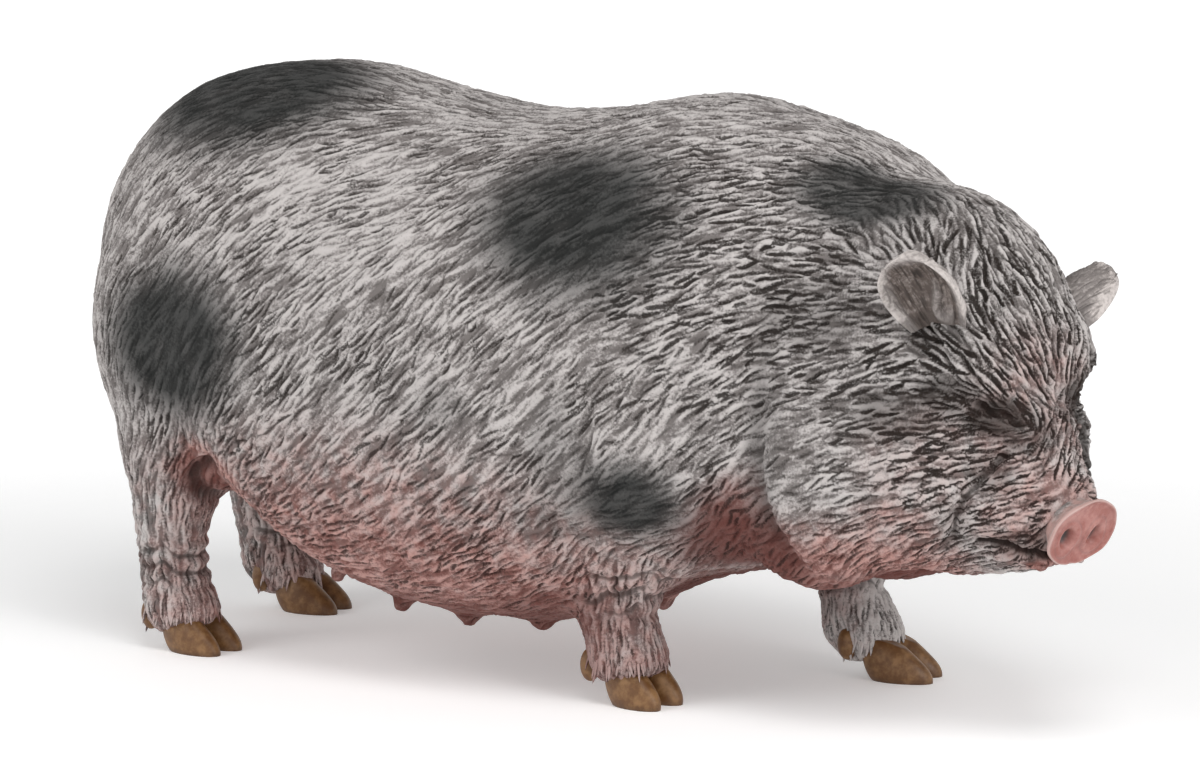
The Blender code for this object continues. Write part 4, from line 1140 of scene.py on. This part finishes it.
def makeNose(values):
    # a profile turned round the disc's axis, stretched to an oval: a skirt that flares out of the muzzle, a
    # thin rim, then a dished face; nostrils are sunk by a smooth step and stand in a low ring
    drop = math.radians(headLayout["noseDrop"])
    out = np.array((math.cos(drop), 0, -math.sin(drop)))
    upDisc = np.array((math.sin(drop), 0, math.cos(drop)))
    rows, columns, back, front = values["rings"], values["columns"], values["back"], values["front"]
    profile = smoothLine((
        (0, back), (0.35, back), (0.58, back), (0.64, back + 0.8), (0.73, back + 1.7), (0.87, front - 0.6),
        (0.98, front - 0.28), (1, front - 0.12), (0.975, front), (0.93, front - 0.02), (0.86, front - 0.12),
        (0.6, front - 0.2), (0.3, front - 0.14), (0, front - 0.08)), rows)
    share, turn = profile[:, :1], (np.arange(columns) * 2 * math.pi / columns)[None, :]
    high = np.tile(profile[:, 1:], (1, columns))
    wide = values["half"][0] * share * np.cos(turn)
    tall = values["half"][1] * share * np.sin(turn) * (1 + 0.06 * np.sin(turn))
    ripple = np.sin(3 * turn + 0.6) + 0.6 * np.sin(5 * turn + 2) + 0.4 * np.sin(9 * turn + 1)
    wide, tall = wide * (1 + 0.012 * ripple * share**4), tall * (1 + 0.012 * ripple * share**4)
    isFace = softStep(high, front - 0.35, front - 0.2) * (np.arange(rows) > 0.5 * rows)[:, None]
    pit, ring, ringAway = np.zeros_like(high), np.zeros_like(high), np.full_like(high, 9)
    for side in (-1, 1):
        a = (wide - side * values["nostrilAcross"]) / values["nostrilHalf"][0]
        b = (tall - values["nostrilUp"]) / values["nostrilHalf"][1]
        away = np.hypot(a, b)
        pit = np.maximum(pit, 1 - softStep(away, 0.45, 1.15))
        ring = np.maximum(ring, np.exp(-((away - 1.55) / 0.35) ** 2))
        ringAway = np.minimum(ringAway, away)
    cleft = np.exp(-(wide / 0.35) ** 2) * softStep(-tall, 0.8, 2.2)
    swell = 0.10 * np.sin(1.3 * wide + 0.7) * np.sin(1.5 * tall + 1)
    high = high + isFace * (values["ringRise"] * ring - values["nostrilDeep"] * pit - 0.14 * cleft + swell)
    place = np.stack([high, wide, tall], -1).reshape(-1, 3) @ np.array((out, (0, 1, 0), upDisc))
    centre = np.array((headLayout["noseForward"], 0, headLayout["noseUp"]))
    points = fromHead(place + centre)
    quads = wrapQuads(rows, columns)[:, ::-1]
    material, shader, spot = newMaterial("nosePaint", values["roughness"], 0.45)
    speck, drift = noise(spot, 3, 4, 0.65), noise(spot, 0.7, 4)
    face = (drift.between(0.35, 0.65) * 0.75 + (speck - 0.5) * 1.6).clamped()
    face = face.mixed(values["face"], values["light"])
    face = (mark(spot, "ring") * 0.2).mixed(face, values["pit"])
    brushed = ((speck - 0.5) * 2.6 + (drift - 0.5) + 0.45).between(0, 1)
    skirt = brushed.mixed(hideValues["plain"], hideValues["ridge"])
    skirt = (drift.between(0.3, 0.6) * 0.8).mixed(skirt, hideValues["pinkRidge"])
    edged = mark(spot, "edge").mixed(mark(spot, "skirt").mixed(face, skirt), values["edge"])
    feed(shader, "Base Color", mark(spot, "pit").between(0.3, 0.9).mixed(edged, values["pit"]))
    bump(shader, noise(spot, 3, 5, 0.6), 0.35, 0.1)
    edge = np.exp(-((share - 0.985) / 0.03) ** 2) * (high > front - 0.4) * 0.8
    marks = {"pit": (pit * isFace).ravel(), "edge": np.clip(edge, 0, 1).ravel(), "skirt": (1 - isFace).ravel(),
             "ring": (np.exp(-((ringAway - 1.95) / 0.12) ** 2) * isFace).ravel()}
    uv = ringUv(rows, columns).reshape(-1, 4, 2)[:, ::-1].reshape(-1, 2)
    finish(newPiece("nose_disc", points, quads, material, uv, marks), "snout", "snout_disc")


makeNose(noseValues)

print("hooves")
hoofValues = {
    "half": (2.8, 1.28, 2.75), "middle": 1.1, "rake": 0.35, "top": 3.4, "slope": 0.34, "rows": 48,
    "columns": 72, "toeOut": {"front": 10, "hind": 6}, "heel": {"front_right": 16},
    "clawHalf": (0.85, 0.8, 1.35), "clawIn": 0.35, "colour": (0.12, 0.05, 0.0135, 1),
    "light": (0.237, 0.124, 0.048, 1), "dark": (0.045, 0.021, 0.009, 1), "roughness": 0.36,
}


def makeHoofPaint(values):
    material, shader, place = newMaterial("hoofPaint", values["roughness"], 0.45)
    speck = noise(place, 1.2, 5, 0.6)
    body = speck.between(0.35, 0.7).mixed(values["colour"], values["light"])
    # painted shade: the hooves darken over their lowest 0.6 mm, towards the floor, with random darker mottling
    low = place.node("ShaderNodeSeparateXYZ", {}, {0: place}, 2)
    shade = (1 - low.between(0, 0.6)) * 0.5 + (noise(place, 3) - 0.5) * 0.6
    feed(shader, "Base Color", shade.clamped().mixed(body, values["dark"]))
    feed(shader, "Roughness", values["roughness"] + speck * 0.2)
    bump(shader, noise(place, 2, 4), 0.3, 0.1)
    return material


def makeHooves(values):
    # a toe is an oval ball raked back by a share of its height, flat on the floor and under the hair, its
    # top falling to the front; a dewclaw is a small oval ball
    material = makeHoofPaint(values)
    rows, columns = values["rows"], values["columns"]
    for end, hand in legs:
        side = sides[hand]
        turn = math.radians(side * values["toeOut"][end])
        ways = np.array(((math.cos(turn), math.sin(turn), 0), (-math.sin(turn), math.cos(turn), 0), (0, 0, 1)))
        for label, across in (("outer", side), ("inner", -side)):
            node = f"hoof_{end}_{hand}_{label}"
            a, b = boxOf(node)
            ball = ovoid(values["half"], rows, columns) + (0, 0, values["middle"])
            ball[:, 0] -= values["rake"] * (ball[:, 2] - values["middle"])
            heel = math.radians(values["heel"].get(f"{end}_{hand}", 0))
            ball = ball @ np.array(Matrix.Rotation(-heel, 3, "Y")) + (0, 0, 1.2 * math.sin(heel))
            fall = softStep(ball[:, 0], -0.6 * values["half"][0], values["half"][0])
            ball[:, 2] = np.clip(ball[:, 2], 0, values["top"]) * (1 - values["slope"] * fall)
            ball = ball @ ways
            spot = (a + b) / 2 - (ball.min(0) + ball.max(0)) / 2
            points = ball + (spot[0], spot[1], 0)
            toe = ringPiece(f"toe_{end}_{hand}_{label}", points, rows, columns, material)
            finish(toe, "hoof", node)
            node = f"dewclaw_{end}_{hand}_{label}"
            ball = ovoid(values["clawHalf"], rows // 2, columns // 2)
            points = ball @ ways + middleOf(node) + (values["clawIn"], 0, 0)
            claw = ringPiece(f"claw_{end}_{hand}_{label}", points, rows // 2, columns // 2, material)
            finish(claw, "hoof", node)


makeHooves(hoofValues)

print("hair over the hooves")
fringeValues = {  # rings are how far each stands above the top of the first
    "rings": (0, 0.55), "count": 42, "long": (1.5, 2.3), "wide": (0.17, 0.27), "top": 4.3, "back": -0.8,
    "foot": (6, 5, 7.5), "round": 2.6, "jitter": 0.35, "sway": 0.12, "tones": (0.4, 1), "sunk": 0.28,
    "lean": 0.28, "rows": 8, "columns": 8,
}


def lockShape(rows, columns):
    # a leaf-shaped lock: half width sqrt(1 - v to the fourth) x (0.55 + 0.45 (1 - v)), domed, narrow at
    # its root
    v, turn = ringGrid(rows, columns)
    wide = np.sqrt(np.maximum(0, 1 - v**4)) * (0.55 + 0.45 * (1 - v))
    wide = wide * np.sin(math.pi * np.minimum(0.5, v + 0.2))
    return (wide * np.cos(turn)).ravel(), (0.8 * wide * np.sin(turn)).ravel(), v.ravel(), np.sin(turn).ravel()


def fringeUv(roots, quads, rows, columns):  # a small patch for each lock, at its root's place on its leg
    patch = np.meshgrid(np.linspace(0, 0.003, rows), np.linspace(0, 0.003, columns), indexing="ij")
    local = np.tile(np.stack(patch, -1).reshape(-1, 2), (len(roots), 1))
    return (roots.repeat(rows * columns, 0) + local)[quads].reshape(-1, 2)


def makeFringe(values):
    # locks grow from the skin in two rings round each foot, lean outwards and hang down over the toes
    rows, columns, count = values["rows"], values["columns"], values["count"]
    across, thick, along, outer = lockShape(rows, columns)
    one, quads, points, crests, roots = wrapQuads(rows, columns), [], [], [], []
    for foot, (end, hand) in enumerate(legs):
        boxes = [np.array(boxOf(f"hoof_{end}_{hand}_{label}")) for label in ("outer", "inner")]
        middle = (boxes[0] + boxes[1]).mean(0) / 2
        near = (np.abs(skinPoints - middle * (1, 1, 0)) < values["foot"]).all(1)
        low, lowNormals = skinPoints[near], skinNormals[near]
        for lift in values["rings"]:
            turn = np.arange(count) + 0.5 * (lift > 0)
            turn = (turn + dice.uniform(-values["jitter"], values["jitter"], count)) * 2 * math.pi / count
            longs, wides = dice.uniform(*values["long"], count), dice.uniform(*values["wide"], count)
            sways, tones = dice.normal(0, values["sway"], count), dice.uniform(*values["tones"], count)
            for angle, length, wide, sway, tone in zip(turn, longs, wides, sways, tones):
                out = np.array((math.cos(angle), math.sin(angle), 0))
                seek = middle * (1, 1, 0) + out * values["round"] + (values["back"], 0, values["top"] + lift)
                seek = seek + (0, 0, 0.5 * math.cos(angle))
                nearest = np.argmin(((low - seek) ** 2).sum(1))
                root = low[nearest] - values["sunk"] * lowNormals[nearest]
                out = unit(lowNormals[nearest] * (1, 1, 0.3))
                sideways = unit(np.cross((0, 0, -1), out))
                down = unit(values["lean"] * out + sway * sideways + (0, 0, -1))
                place = root + along[:, None] * length * down + across[:, None] * wide * sideways
                place = place + (thick * wide + 0.25 * along**2 * (1 - along))[:, None] * out
                share = (foot + 0.05 + 0.9 * angle / (2 * math.pi)) / 4
                roots.append((share, 0.1 * root[2] + 0.3 * (lift > 0)))
                quads.append(one + len(points) * rows * columns)
                points.append(place)
                crests.append(tone * np.maximum(0, outer))
    points, quads, crest = np.concatenate(points), np.concatenate(quads), np.concatenate(crests)
    empty = np.zeros(len(points))
    hollow = 0.5 * (1 - np.clip(2.2 * crest, 0, 1))
    marks = {"hollow": hollow, "crest": crest, "crease": empty, "teat": empty, "strand": empty + 0.5}
    uv = fringeUv(np.array(roots), quads, rows, columns)
    finish(newPiece("hoof_fringe", points, quads, hidePaint, uv, marks), "hide")


makeFringe(fringeValues)
